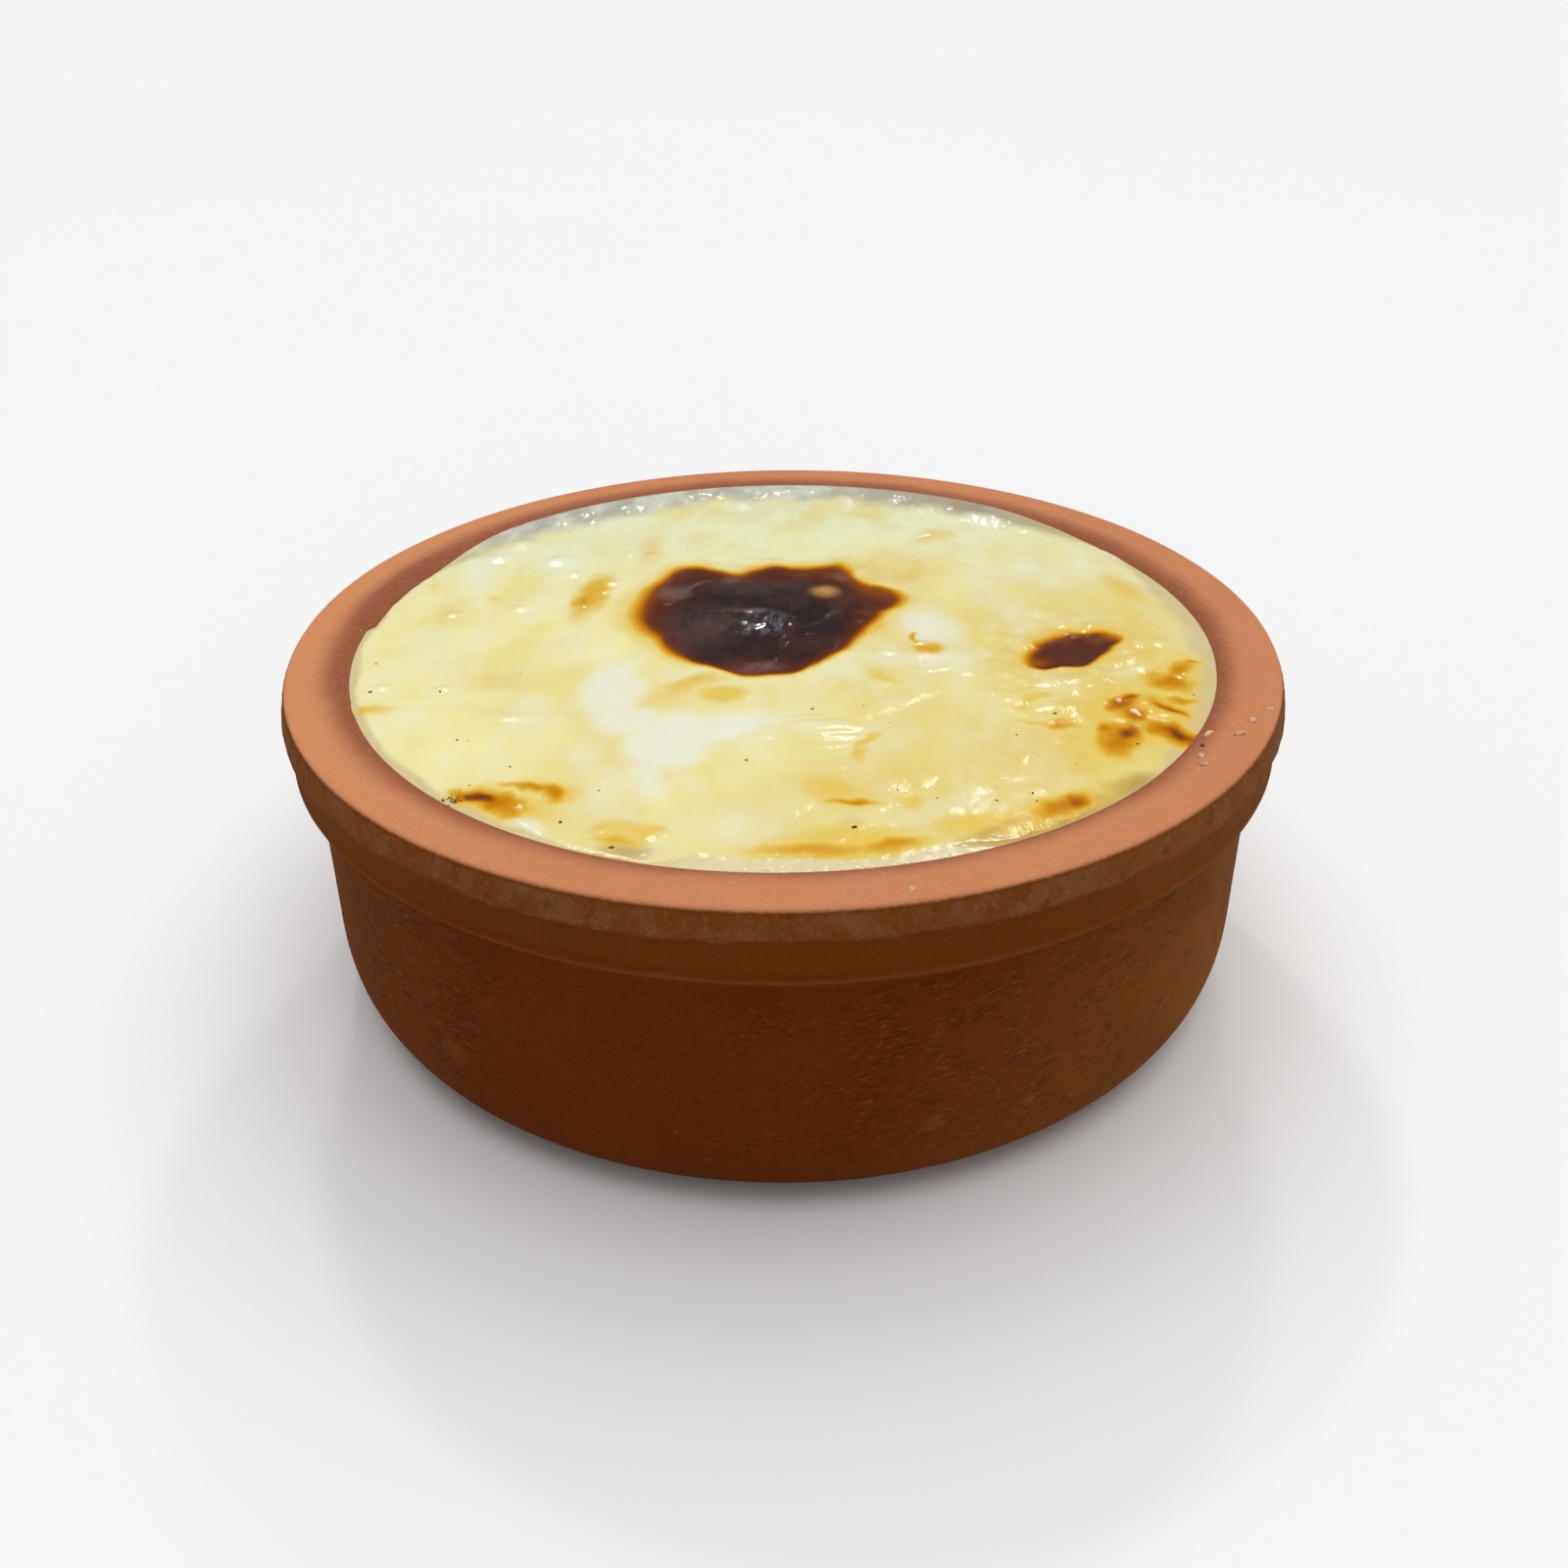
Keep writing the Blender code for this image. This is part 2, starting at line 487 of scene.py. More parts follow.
def clay_relief(board, given, clay):
    """Height of the clay's surface over the turned shape, and where each of its finishes lies."""
    at = board.add("GeometryNodeInputPosition")
    x, y, z = board.split(at)
    radius = (x * x + y * y) ** 0.5 / MM
    down = (clay.height - z) / MM
    outer = board.highest(board.smooth(radius, 55.6, 57.4), board.smooth(down, 30.0, 33.0))
    wander = (board.noise(at, 5 * MM) - 0.5) * 1.6

    # Gritty band, groove and ridge, from the rim down
    band = outer * board.smooth(down, 0.3, 0.8) * (1 - board.smooth(down + wander, 3.1, 3.7))
    lumps, holes = band_grit(board, at)
    grit = band * (lumps * 1.1 - holes * 0.9)

    groove = outer * board.smooth(down + wander, 3.4, 4.4) * (1 - board.smooth(down, 7.0, 8.3))
    off_ridge = abs(down - 8.6 + (board.noise(at, 9 * MM) - 0.5) * 0.8)
    ridge = outer * (1 - board.smooth(off_ridge, 0.1, 0.6))

    # Where the wheel dragged the wall
    right = board.near(at, TORN_RIGHT, 16, 36)
    left = board.near(at, TORN_LEFT, 8, 22)
    wild = board.smooth(board.noise(at, 16 * MM), 0.42, 0.65) * 0.7
    broken = board.smooth(board.noise(at, 4 * MM), 0.28, 0.6)
    torn = board.highest(board.highest(right, left), wild) * broken
    torn = torn * board.smooth(down, 9.5, 12.0) * (1 - board.smooth(down, 32.0, 37.0))
    deep, _ = torn_marks(board, at)

    # Rings from the wheel, the swollen inner lip at the back left, the nick and the wart
    rings = board.noise(board.join(x * 0.06, y * 0.06, z), 0.9 * MM, 2.0) - 0.5
    wobble = board.noise(at, 26 * MM, 1.0) - 0.5
    lip = (1 - board.smooth(radius, 54.0, 55.8)) * (1 - board.smooth(down, 2.5, 4.0))
    swell = lip * board.smooth(y / MM, 3.2, 4.6) * (1 - board.smooth(y / MM, 18.0, 36.0))
    swell = swell * (1 - board.smooth(x / MM, -20.0, -10.0))
    nick = board.near(at, NICK, 0.5, 1.5)
    wart = board.near(at, WART, 0.3, 0.9)

    height = (
        wobble * given["Wobble"]
        + grit * given["Grit"]
        + band * (0.12 * MM)
        - groove * (0.28 * MM)
        + ridge * (0.1 * MM)
        - deep * torn * given["Drag"]
        + outer * rings * (0.07 * MM)
        + swell * (0.55 * MM)
        - nick * (0.8 * MM)
        + wart * (0.35 * MM)
    )
    return height, {"band": band, "groove": groove, "ridge": ridge, "torn": torn, "nick": nick}


def clay_tree(clay):
    """Geometry Nodes that turn the outline, keep its finishes as attributes and raise its relief."""
    board, given, identifiers = new_tree(
        "turned clay",
        {"Turns": "Int", "Wobble": "Float", "Grit": "Float", "Drag": "Float", "Clay": "Material"},
    )
    kept = turn_outline(board, given)
    height, finishes = clay_relief(board, given, clay)
    for name, value in finishes.items():
        kept = board.add(
            "GeometryNodeStoreNamedAttribute",
            {"data_type": "FLOAT", "domain": "POINT"},
            {"Geometry": kept, "Name": name, "Value": value},
        )
    normal = board.add("GeometryNodeInputNormal")
    push = board.add("ShaderNodeVectorMath", {"operation": "SCALE"}, {0: normal, "Scale": height})
    shaped = board.add("GeometryNodeSetPosition", None, {"Geometry": kept, "Offset": push})
    close_tree(board, shaped, given["Clay"])
    return board.tree, identifiers


def wall_shade(board, clay, at, cloud, marks):
    """Clay of the wall, darkened as painted shade, with painted light to the right and left, its groove,
    gritty band, pits and scuffs, painted highlights on its ridge and raised drag marks, and painted shade
    in its hollows.
    """
    x, _, z = board.split(at)
    band, groove, ridge, torn, nick, dashes, deep, holes = marks
    # Painted light: the wall paler to the right and lower down
    paler = board.smooth(x + (cloud - 0.5) * (30 * MM) - z * 0.5, -6 * MM, 52 * MM)
    wall = board.mix(paler, tuple(clay.shaded_wall_colour), tuple(clay.lit_right_wall_colour))
    wall = board.mix(board.smooth(cloud, 0.4, 0.62) * 0.35, wall, REDDER_WALL)
    # Painted light: the wall lighter towards the left
    wall = board.mix(board.smooth(x, -26 * MM, -54 * MM) * 0.45, wall, LEFT_WALL_PAINTED_LIGHT)
    wall = board.mix(groove * 0.3, wall, GROOVE_SHADE)
    wall = board.mix(band * 0.45, wall, BAND_SHADE)
    flecks = board.smooth(board.noise(at, 0.5 * MM, 2.0, 0.6), 0.52, 0.66)
    dusty = board.smooth(board.noise(at, 3.5 * MM, 3.0, 0.6), 0.42, 0.7)
    wall = board.mix((flecks * 0.16 + dusty * 0.26) * band, wall, tuple(clay.dust_colour))
    # Painted highlight along the fine ridge under the collar
    wall = board.mix(ridge * 0.24, wall, RIDGE_PAINTED_HIGHLIGHT)
    # Painted shade in the sunk drag marks, the band's holes and the nick
    pits = board.smooth(dashes, 0.48, 0.34) * torn
    dark = board.highest(board.highest(deep * 0.1 + pits * 0.42, holes * band * 0.25), nick)
    wall = board.mix(dark, wall, RECESS_PAINTED_SHADE)
    # Painted highlight on the raised parts of the drag marks
    wall = board.mix(board.smooth(dashes, 0.56, 0.68) * torn * 0.4, wall, DRAG_PAINTED_HIGHLIGHT)
    scuffs = 0
    for *place, size in SCUFFS:
        off = board.distance(at, [value * MM for value in place])
        rough_edge = (board.noise(at, 1.4 * MM, 3.0, 0.7) - 0.5) * (1.4 * size * MM)
        scuffs = scuffs + (1 - board.smooth(off + rough_edge, 0.0, size * MM))
    return board.mix(scuffs * 0.13, wall, SCUFF_SHADE)


def rim_shade(board, clay, at, cloud, radius):
    """Clay of the rim with painted light to its left and milk staining that is partly painted shade, and
    how far that reaches, 0 to 1.
    """
    x, y, _ = board.split(at)
    rim = board.mix(board.smooth(cloud, 0.4, 0.6) * 0.3, tuple(clay.rim_colour), BROWNER_RIM)
    # Painted light: the rim lighter towards the left
    rim = board.mix(board.smooth(x, -10 * MM, -56 * MM) * 0.5, rim, LEFT_RIM_PAINTED_LIGHT)
    # Milk staining on the inner lip, partly painted shade, reaching farther across the rim at the back and
    # left
    stain_and_shade_edge = radius + (board.noise(at, 7 * MM, 2.0) - 0.5) * 1.6 + x * 9 - y * 7
    stain_and_shade = 1 - board.smooth(stain_and_shade_edge, 53.0, 57.0)
    return board.mix(stain_and_shade, rim, tuple(clay.stain_and_shade_colour)), stain_and_shade


def clay_material(clay):
    material, board = new_material("fired clay")
    at = board.add("ShaderNodeTexCoord", output="Object")
    x, y, z = board.split(at)
    radius = (x * x + y * y) ** 0.5 / MM
    down = (clay.height - z) / MM
    band, groove, ridge, torn, nick = [board.field(n) for n in ("band", "groove", "ridge", "torn", "nick")]
    cloud = board.noise(at, 14 * MM, 3.0, 0.55)
    grain = board.noise(at, 0.5 * MM, 2.0, 0.6)
    fine = board.noise(at, 0.22 * MM, 1.0)
    lumps, holes = band_grit(board, at)
    deep, dashes = torn_marks(board, at)
    deep = deep * torn

    wall = wall_shade(board, clay, at, cloud, (band, groove, ridge, torn, nick, dashes, deep, holes))
    rim, stain_and_shade = rim_shade(board, clay, at, cloud, radius)
    on_top = board.smooth(down + (grain - 0.5) * 0.3, 0.55, 0.1)
    inside = (1 - board.smooth(radius, 55.4, 56.4)) * (1 - board.smooth(down, 6.0, 8.0))
    rim_zone = board.highest(on_top, inside)
    # The rim colour on the top and inside; elsewhere the darker wall colour, which is mostly painted shade
    base = board.mix(rim_zone, wall, rim)
    speckle = (grain - 0.5) * 0.5 + (fine - 0.5) * 0.35
    pale_grain = board.mix(rim_zone, WALL_GRAIN, RIM_GRAIN)
    base = board.mix(board.smooth(speckle, 0.0, 0.2) * (0.1 + rim_zone * 0.14), base, pale_grain)
    base = board.mix(board.smooth(speckle, 0.0, -0.26) * (0.3 - rim_zone * 0.14), base, DARK_GRAIN)

    grit = (lumps - holes) * band * 1.6
    height = grain * 0.6 + fine * 0.5 + grit + (dashes * 9 - deep * 1.2) * torn
    bump = board.add("ShaderNodeBump", None, {"Height": height, "Strength": 0.5, "Distance": 0.12 * MM})
    roughness = 0.88 - stain_and_shade * rim_zone * 0.14
    finish_material(
        board,
        {"Base Color": base, "Roughness": roughness, "Normal": bump},
        {"Specular IOR Level": 0.06},
    )
    return material


# Pale scuffs on the wall: x, y, z and size, in millimetres
SCUFFS = (
    (-36.2, -45.1, 12.9, 2.6),
    (15.2, -55.8, 11.8, 1.6),
    (25.6, -51.8, 11.2, 1.8),
    (19.9, -47.5, 1.6, 3.6),
    (24.0, -46.0, 2.2, 2.4),
    (-57.7, -2.8, 16.7, 0.8),
    (-11.5, -56.6, 11.5, 0.5),
    (-42.3, -43.0, 39.7, 1.0),
    (30.0, 50.0, 14.0, 2.2),
    (-48.0, 33.0, 9.0, 1.8),
)


class PUDDING_OT_bowl(bpy.types.Operator):
    """Turn the clay bowl with its gritty band and torn wall"""

    bl_idname = "pudding.bowl"
    bl_label = "Clay Bowl"

    def execute(self, context):
        clay = context.scene.clay_bowl
        tree, identifiers = clay_tree(clay)
        values = {
            "Turns": clay.turns,
            "Wobble": clay.wobble,
            "Grit": clay.grit_depth,
            "Drag": clay.drag_depth,
            "Clay": clay_material(clay),
        }
        bowl = grow("clay_bowl", outline_mesh(bowl_outline(clay)), tree, identifiers, values)
        place(bowl, "fired_clay", "bowl")
        return {"FINISHED"}


# ---------------------------------------------------------------- pudding skin

LATTICE = 256


def grain(x, y, size, seed):
    """Smooth random heights of about -1 to 1, in lumps of that size."""
    turn = np.random.default_rng(seed).uniform(0, 2 * np.pi, (LATTICE, LATTICE))
    u, v = x / size, y / size
    left, low = np.floor(u).astype(int), np.floor(v).astype(int)
    fu, fv = u - left, v - low

    def corner(i, j):
        angle = turn[(left + i) % LATTICE, (low + j) % LATTICE]
        return np.cos(angle) * (fu - i) + np.sin(angle) * (fv - j)

    su, sv = (f * f * f * (f * (f * 6 - 15) + 10) for f in (fu, fv))
    bottom = corner(0, 0) * (1 - su) + corner(1, 0) * su
    top = corner(0, 1) * (1 - su) + corner(1, 1) * su
    return 1.5 * (bottom * (1 - sv) + top * sv)


def cloud(x, y, size, octaves, seed):
    """Grain with finer grain added to it, each octave half as tall."""
    return sum(grain(x, y, size / 2**k, seed + k) / 2**k for k in range(octaves))


def step(value, low, high):
    """0 below low and 1 above high, with a soft step between."""
    t = np.clip((value - low) / (high - low), 0, 1)
    return t * t * (3 - 2 * t)


def oval(x, y, spot):
    """Soft-edged oval (x, y, half width, half depth, turn in degrees, strength, softness)."""
    cx, cy, wide, deep, turn, strength, soft = spot
    c, s = math.cos(math.radians(turn)), math.sin(math.radians(turn))
    u, v = (x - cx) * c + (y - cy) * s, (y - cy) * c - (x - cx) * s
    off = np.hypot(u / wide, v / deep)
    return strength * (1 - step(off, 1 - soft, 1 + soft))


def bow(x, y, line):
    """Soft arc (centre x, centre y, radius, first and last angle in degrees, half width, strength)."""
    cx, cy, radius, first, last, wide, strength = line
    off = np.abs(np.hypot(x - cx, y - cy) - radius) / wide
    along = (np.degrees(np.arctan2(y - cy, x - cx)) - first) % 360 / (last - first)
    return strength * (1 - step(off, 0.2, 1.4)) * step(along, 0, 0.25) * (1 - step(along, 0.75, 1.0))


def layered(x, y, ovals, bows=()):
    """Highest of the ovals and arcs at each point."""
    return np.max([oval(x, y, spot) for spot in ovals] + [bow(x, y, line) for line in bows], axis=0)


# Edges of the two dark burns round their middles: angle, radius in mm, width of the amber edge in mm
LARGE_BURN_MIDDLE = (-2.0, 7.0)
LARGE_BURN = (
    (2, 15.0, 0.9),
    (14, 18.7, 1.0),
    (25, 18.2, 1.1),
    (34, 15.9, 1.0),
    (45, 15.8, 0.9),
    (54, 18.2, 1.3),
    (61, 18.2, 1.4),
    (67, 15.8, 1.2),
    (77, 15.4, 1.0),
    (87, 15.8, 1.0),
    (96, 14.4, 1.0),
    (107, 12.9, 1.3),
    (114, 14.4, 1.4),
    (119, 17.7, 1.1),
    (125, 18.9, 1.0),
    (132, 18.6, 1.0),
    (141, 17.8, 1.0),
    (153, 17.2, 1.1),
    (168, 16.3, 1.4),
    (180, 16.4, 1.5),
    (193, 15.7, 1.3),
    (207, 15.1, 1.0),
    (221, 15.7, 0.8),
    (236, 16.6, 0.6),
    (246, 16.3, 0.4),
    (257, 17.5, 0.4),
    (270, 18.0, 0.4),
    (281, 17.2, 0.4),
    (297, 15.0, 0.5),
    (317, 13.8, 0.6),
    (338, 13.2, 0.7),
)
RIGHT_BURN_MIDDLE = (35.5, -4.8)
RIGHT_BURN = (
    (14, 5.1, 0.5),
    (24, 6.9, 0.7),
    (33, 8.3, 1.0),
    (49, 6.6, 1.2),
    (66, 5.2, 1.0),
    (84, 4.8, 0.9),
    (104, 4.3, 0.9),
    (123, 4.4, 0.9),
    (150, 4.2, 1.0),
    (172, 4.4, 1.0),
    (195, 5.8, 1.0),
    (209, 7.4, 0.9),
    (224, 7.0, 0.4),
    (240, 5.0, 0.3),
    (264, 4.1, 0.3),
    (300, 3.5, 0.3),
    (326, 3.4, 0.4),
    (350, 4.0, 0.4),
)

# Small soft burns, as ovals and as arcs
BURNS = (
    (-25.0, 12.8, 7.4, 2.3, 82, 0.2, 0.7),
    (-26.2, 11.2, 2.4, 1.2, 84, 0.28, 1.0),
    (-25.6, 8.4, 1.6, 0.9, 60, 0.2, 1.0),
    (17.8, -3.9, 1.8, 1.5, 10, 0.26, 1.0),
    (46.4, -13.0, 3.2, 5.4, -18, 0.12, 1.0),
    (45.5, -13.2, 2.6, 2.6, 50, 0.36, 0.9),
    (47.2, -10.2, 2.6, 1.2, 55, 0.34, 1.0),
    (49.2, -8.3, 1.4, 0.5, 10, 0.32, 1.0),
    (40.2, -22.4, 5.6, 5.2, 40, 0.15, 1.0),
    (38.8, -18.6, 2.3, 1.5, 40, 0.46, 0.9),
    (39.6, -21.2, 2.0, 1.7, 70, 0.44, 0.9),
    (43.9, -20.0, 2.6, 0.6, -40, 0.52, 1.0),
    (43.4, -19.4, 3.2, 1.4, -38, 0.28, 1.0),
    (45.6, -18.0, 2.0, 0.8, -20, 0.3, 1.0),
    (37.7, -25.8, 2.0, 1.3, 64, 0.64, 1.0),
    (37.0, -26.8, 4.2, 2.1, 66, 0.4, 1.0),
    (36.0, -24.4, 1.6, 0.9, 120, 0.36, 1.0),
    (43.4, -26.2, 2.8, 0.9, -54, 0.64, 1.0),
    (43.0, -25.8, 4.0, 1.9, -50, 0.42, 1.0),
    (46.0, -26.4, 1.6, 0.7, 25, 0.34, 1.0),
    (30.8, -23.3, 1.9, 0.8, -6, 0.3, 1.0),
    (28.2, -23.0, 2.4, 0.5, -10, 0.14, 1.0),
    (29.8, -40.3, 1.5, 1.2, 55, 0.5, 1.0),
    (28.2, -41.2, 3.4, 1.5, 36, 0.38, 1.0),
    (6.9, -39.8, 2.4, 0.6, -4, 0.34, 1.0),
    (10.8, -48.0, 3.0, 1.4, 10, 0.3, 1.0),
    (3.0, -48.8, 6.0, 1.3, 4, 0.26, 1.0),
    (24.0, -45.0, 5.0, 1.3, 26, 0.14, 1.0),
    (32.6, -39.6, 4.6, 1.2, 42, 0.12, 1.0),
    (-31.4, -38.4, 2.4, 1.0, -16, 0.72, 1.0),
    (-30.0, -39.1, 3.6, 1.6, -26, 0.42, 1.0),
    (-28.2, -41.2, 2.0, 1.3, -50, 0.3, 1.0),
    (-23.8, -37.6, 1.8, 1.1, -55, 0.36, 1.0),
    (-26.2, -36.3, 3.2, 0.8, -8, 0.32, 1.0),
    (-16.6, -46.9, 2.4, 1.0, -10, 0.2, 1.0),
    (-47.8, -18.9, 2.0, 0.7, 14, 0.16, 1.0),
    (11.6, 2.6, 1.8, 4.0, -24, 0.18, 1.0),
)
BURN_BOWS = (
    (20.2, -0.4, 4.2, 150, 222, 0.5, 0.26),
    (40.4, -21.6, 4.2, 70, 140, 0.8, 0.48),
)

# Golden patches
GOLD_PATCHES = (
    (36.0, -5.0, 11.0, 8.0, 30, 0.62, 0.6),
    (40.0, -22.0, 9.5, 9.5, 40, 0.72, 0.6),
    (47.0, -12.0, 3.4, 5.5, -15, 0.7, 0.6),
    (45.4, 14.0, 2.6, 5.0, 15, 0.66, 0.8),
    (44.0, 3.0, 4.0, 5.0, 0, 0.4, 0.8),
    (-10.8, -13.0, 4.4, 2.2, 42, 0.8, 0.8),
    (-6.9, -15.8, 2.7, 2.1, 10, 1.0, 0.8),
    (-13.0, -15.6, 4.4, 2.8, 20, 0.5, 0.9),
    (11.6, -11.0, 2.6, 1.3, -55, 0.7, 0.9),
    (8.4, -29.6, 2.0, 0.9, 80, 0.75, 0.9),
    (5.0, -37.0, 4.4, 3.0, -40, 0.8, 0.9),
    (13.0, -39.5, 1.6, 1.6, 0, 0.7, 0.9),
    (9.0, -35.0, 10.0, 5.0, 6, 0.45, 0.8),
    (6.5, -47.6, 8.0, 3.2, 6, 0.8, 0.8),
    (19.6, -44.4, 5.4, 2.4, 14, 0.8, 0.8),
    (23.6, -46.0, 4.6, 1.6, 24, 0.9, 0.8),
    (28.6, -41.4, 5.6, 3.0, 36, 0.8, 0.8),
    (34.0, -36.6, 4.6, 2.0, 42, 0.6, 0.9),
    (27.5, -29.5, 5.0, 3.4, 30, 0.4, 0.9),
    (15.0, 20.0, 7.0, 9.0, -20, 0.55, 0.8),
    (21.6, 33.0, 3.6, 2.4, 35, 0.6, 0.9),
    (-18.5, 30.0, 2.2, 6.0, 0, 0.5, 0.9),
    (-46.0, 17.0, 1.2, 2.4, 10, 0.5, 0.8),
    (-37.4, 12.8, 1.0, 1.8, 20, 0.55, 0.9),
    (-42.5, 8.0, 3.4, 5.5, 15, 0.36, 0.8),
    (30.0, -31.0, 11.0, 7.0, 30, 0.62, 0.8),
    (-40.5, -5.0, 3.0, 5.0, 20, 0.35, 0.9),
    (-34.0, -12.0, 12.0, 3.0, -14, 0.3, 0.9),
    (-29.0, -39.6, 6.4, 3.2, -24, 0.7, 0.7),
    (-24.6, -37.0, 4.6, 2.4, -18, 0.6, 0.8),
    (-47.5, -19.0, 3.4, 1.6, 14, 0.6, 0.8),
    (-12.0, 33.0, 3.0, 3.0, 0, 0.3, 0.9),
)
GOLD_BOWS = (
    (12.0, -29.6, 4.4, 92, 175, 0.8, 0.7),
    (30.6, -19.8, 3.4, 60, 200, 1.0, 0.7),
    (-15.6, -49.5, 4.6, 30, 150, 2.2, 0.7),
    (36.5, -5.0, 8.0, 150, 330, 1.8, 0.45),
)

# White milky patches; the rows at (3.4, -23.6), (-31.0, 25.2), (-41.6, 21.5), (-39.2, 26.2), (29.0, 39.6),
# (-6.0, 46.0), (10.0, 46.4), (2.2, 41.6) and (-2.4, 25.2) are painted highlights
MILK_AND_HIGHLIGHT_PATCHES = (
    (-20.0, -13.6, 3.6, 7.0, 0, 1.0, 0.6),
    (-17.6, -21.6, 3.8, 3.6, -20, 1.0, 0.6),
    (-12.4, -26.8, 4.8, 6.0, -14, 1.0, 0.4),
    (-14.4, -33.0, 2.0, 5.0, 6, 0.8, 0.8),
    (-6.6, -23.6, 5.2, 2.8, 22, 0.95, 0.6),
    (18.6, 2.6, 3.8, 5.6, 10, 0.8, 0.8),
    (18.6, -7.2, 3.8, 2.8, 10, 0.7, 0.9),
    (13.5, -7.0, 2.6, 2.0, 0, 0.5, 0.9),
    (31.0, 20.0, 7.0, 4.0, 15, 0.5, 0.9),
    (3.4, -23.6, 3.6, 1.6, 6, 0.4, 0.8),
    (-31.0, 25.2, 2.0, 2.4, 0, 0.9, 0.8),
    (-31.0, 25.2, 5.0, 5.0, 0, 0.4, 0.9),
    (-41.6, 21.5, 1.8, 6.0, 12, 0.6, 0.8),
    (-39.2, 26.2, 2.0, 2.2, 0, 0.9, 0.8),
    (-26.4, -43.6, 2.4, 1.1, -35, 0.8, 0.8),
    (-43.5, -3.0, 5.0, 6.0, 0, 0.3, 0.9),
    (29.0, 39.6, 3.4, 3.0, -30, 0.9, 0.8),
    (-6.0, 46.0, 1.4, 2.2, 0, 0.8, 0.8),
    (10.0, 46.4, 1.2, 2.6, 0, 0.8, 0.8),
    (2.2, 41.6, 1.0, 1.8, 0, 0.5, 0.9),
    (-2.4, 25.2, 3.0, 1.4, 0, 0.6, 0.8),
    (-24.0, 41.0, 6.0, 2.4, 24, 0.6, 0.9),
)

# Wet greyish places where the skin is thin
WHEY_PATCHES = (
    (22.6, -46.4, 6.0, 1.8, 24, 1.2, 0.9),
    (30.6, -41.9, 4.6, 1.8, 36, 1.5, 0.9),
    (36.2, -37.6, 4.6, 2.0, 45, 1.0, 0.9),
    (-15.8, -48.6, 2.4, 2.0, 0, 0.8, 0.8),
    (6.8, -43.4, 1.8, 1.4, 0, 0.3, 0.9),
    (-28.0, 42.0, 12.0, 2.6, 33, 0.7, 0.7),
    (38.0, 36.0, 6.0, 2.6, -45, 0.8, 0.7),
    (47.0, 22.0, 5.0, 1.4, -64, 0.5, 0.8),
)

# Places where the dark burns are browner
PALER_SPOTS = (
    (5.6, 13.0, 1.2, 2.2, 0, 0.3, 0.9),
    (13.0, 13.6, 3.6, 3.0, 20, 0.2, 0.7),
    (8.0, 18.0, 3.4, 3.6, 0, 0.13, 0.8),
    (1.0, 18.6, 5.0, 2.6, 0, 0.12, 0.8),
    (10.0, 9.0, 3.4, 5.0, 0, 0.1, 0.8),
    (-2.6, -8.4, 4.6, 2.2, 4, 0.15, 0.8),
    (-9.0, 18.4, 4.0, 3.2, 0, 0.12, 0.8),
    (-14.6, 13.0, 3.4, 5.0, 0, 0.08, 0.8),
    (3.4, -2.6, 4.0, 2.6, 0, 0.06, 0.8),
    (30.4, -7.8, 1.8, 1.2, 30, 0.24, 0.8),
    (41.2, -0.8, 1.6, 1.2, 30, 0.3, 0.8),
    (36.0, -0.6, 4.0, 1.0, 20, 0.12, 0.8),
    (38.4, -2.2, 1.4, 0.9, 30, 0.08, 0.8),
)

# Paler ashy places on the large burn; the streaks at its upper left, round (-12, 15), are partly painted
# highlights
ASH_AND_HIGHLIGHT_PATCHES = (
    (-14.2, 13.6, 2.8, 3.0, 20, 0.9, 0.7),
    (-11.8, 15.4, 3.0, 0.6, 38, 1.0, 0.8),
    (-16.2, 17.8, 1.4, 2.0, -20, 0.9, 0.8),
    (-15.2, 10.2, 0.8, 0.6, 0, 0.9, 0.8),
    (-7.0, 17.6, 1.8, 1.6, 20, 0.8, 0.8),
    (8.0, 18.4, 1.4, 2.0, 20, 0.8, 0.8),
    (-2.6, -8.6, 3.4, 1.6, 4, 0.8, 0.8),
    (-4.8, 7.2, 3.6, 0.5, -6, 0.9, 0.8),
    (3.0, -3.0, 5.0, 2.4, -20, 0.35, 0.9),
    (-6.0, 13.0, 1.2, 1.4, 0, 0.5, 0.9),
    (-10.0, 3.0, 7.0, 8.0, 0, 0.56, 0.9),
    (-4.0, 15.0, 10.0, 4.0, 0, 0.5, 0.9),
)

# The swelling under the large burn
BLISTER_MIDDLE = (-2.0, 8.0)
BLISTER_RADIUS = 17.0

# Marks on the skin are longer along y, so that they look rounder from the front
FLATTEN = 0.55

# The puckered knot and the tan blister on the large burn
KNOT = (-2.2, 3.4)
TAN_BLISTER = (5.6, 13.0)

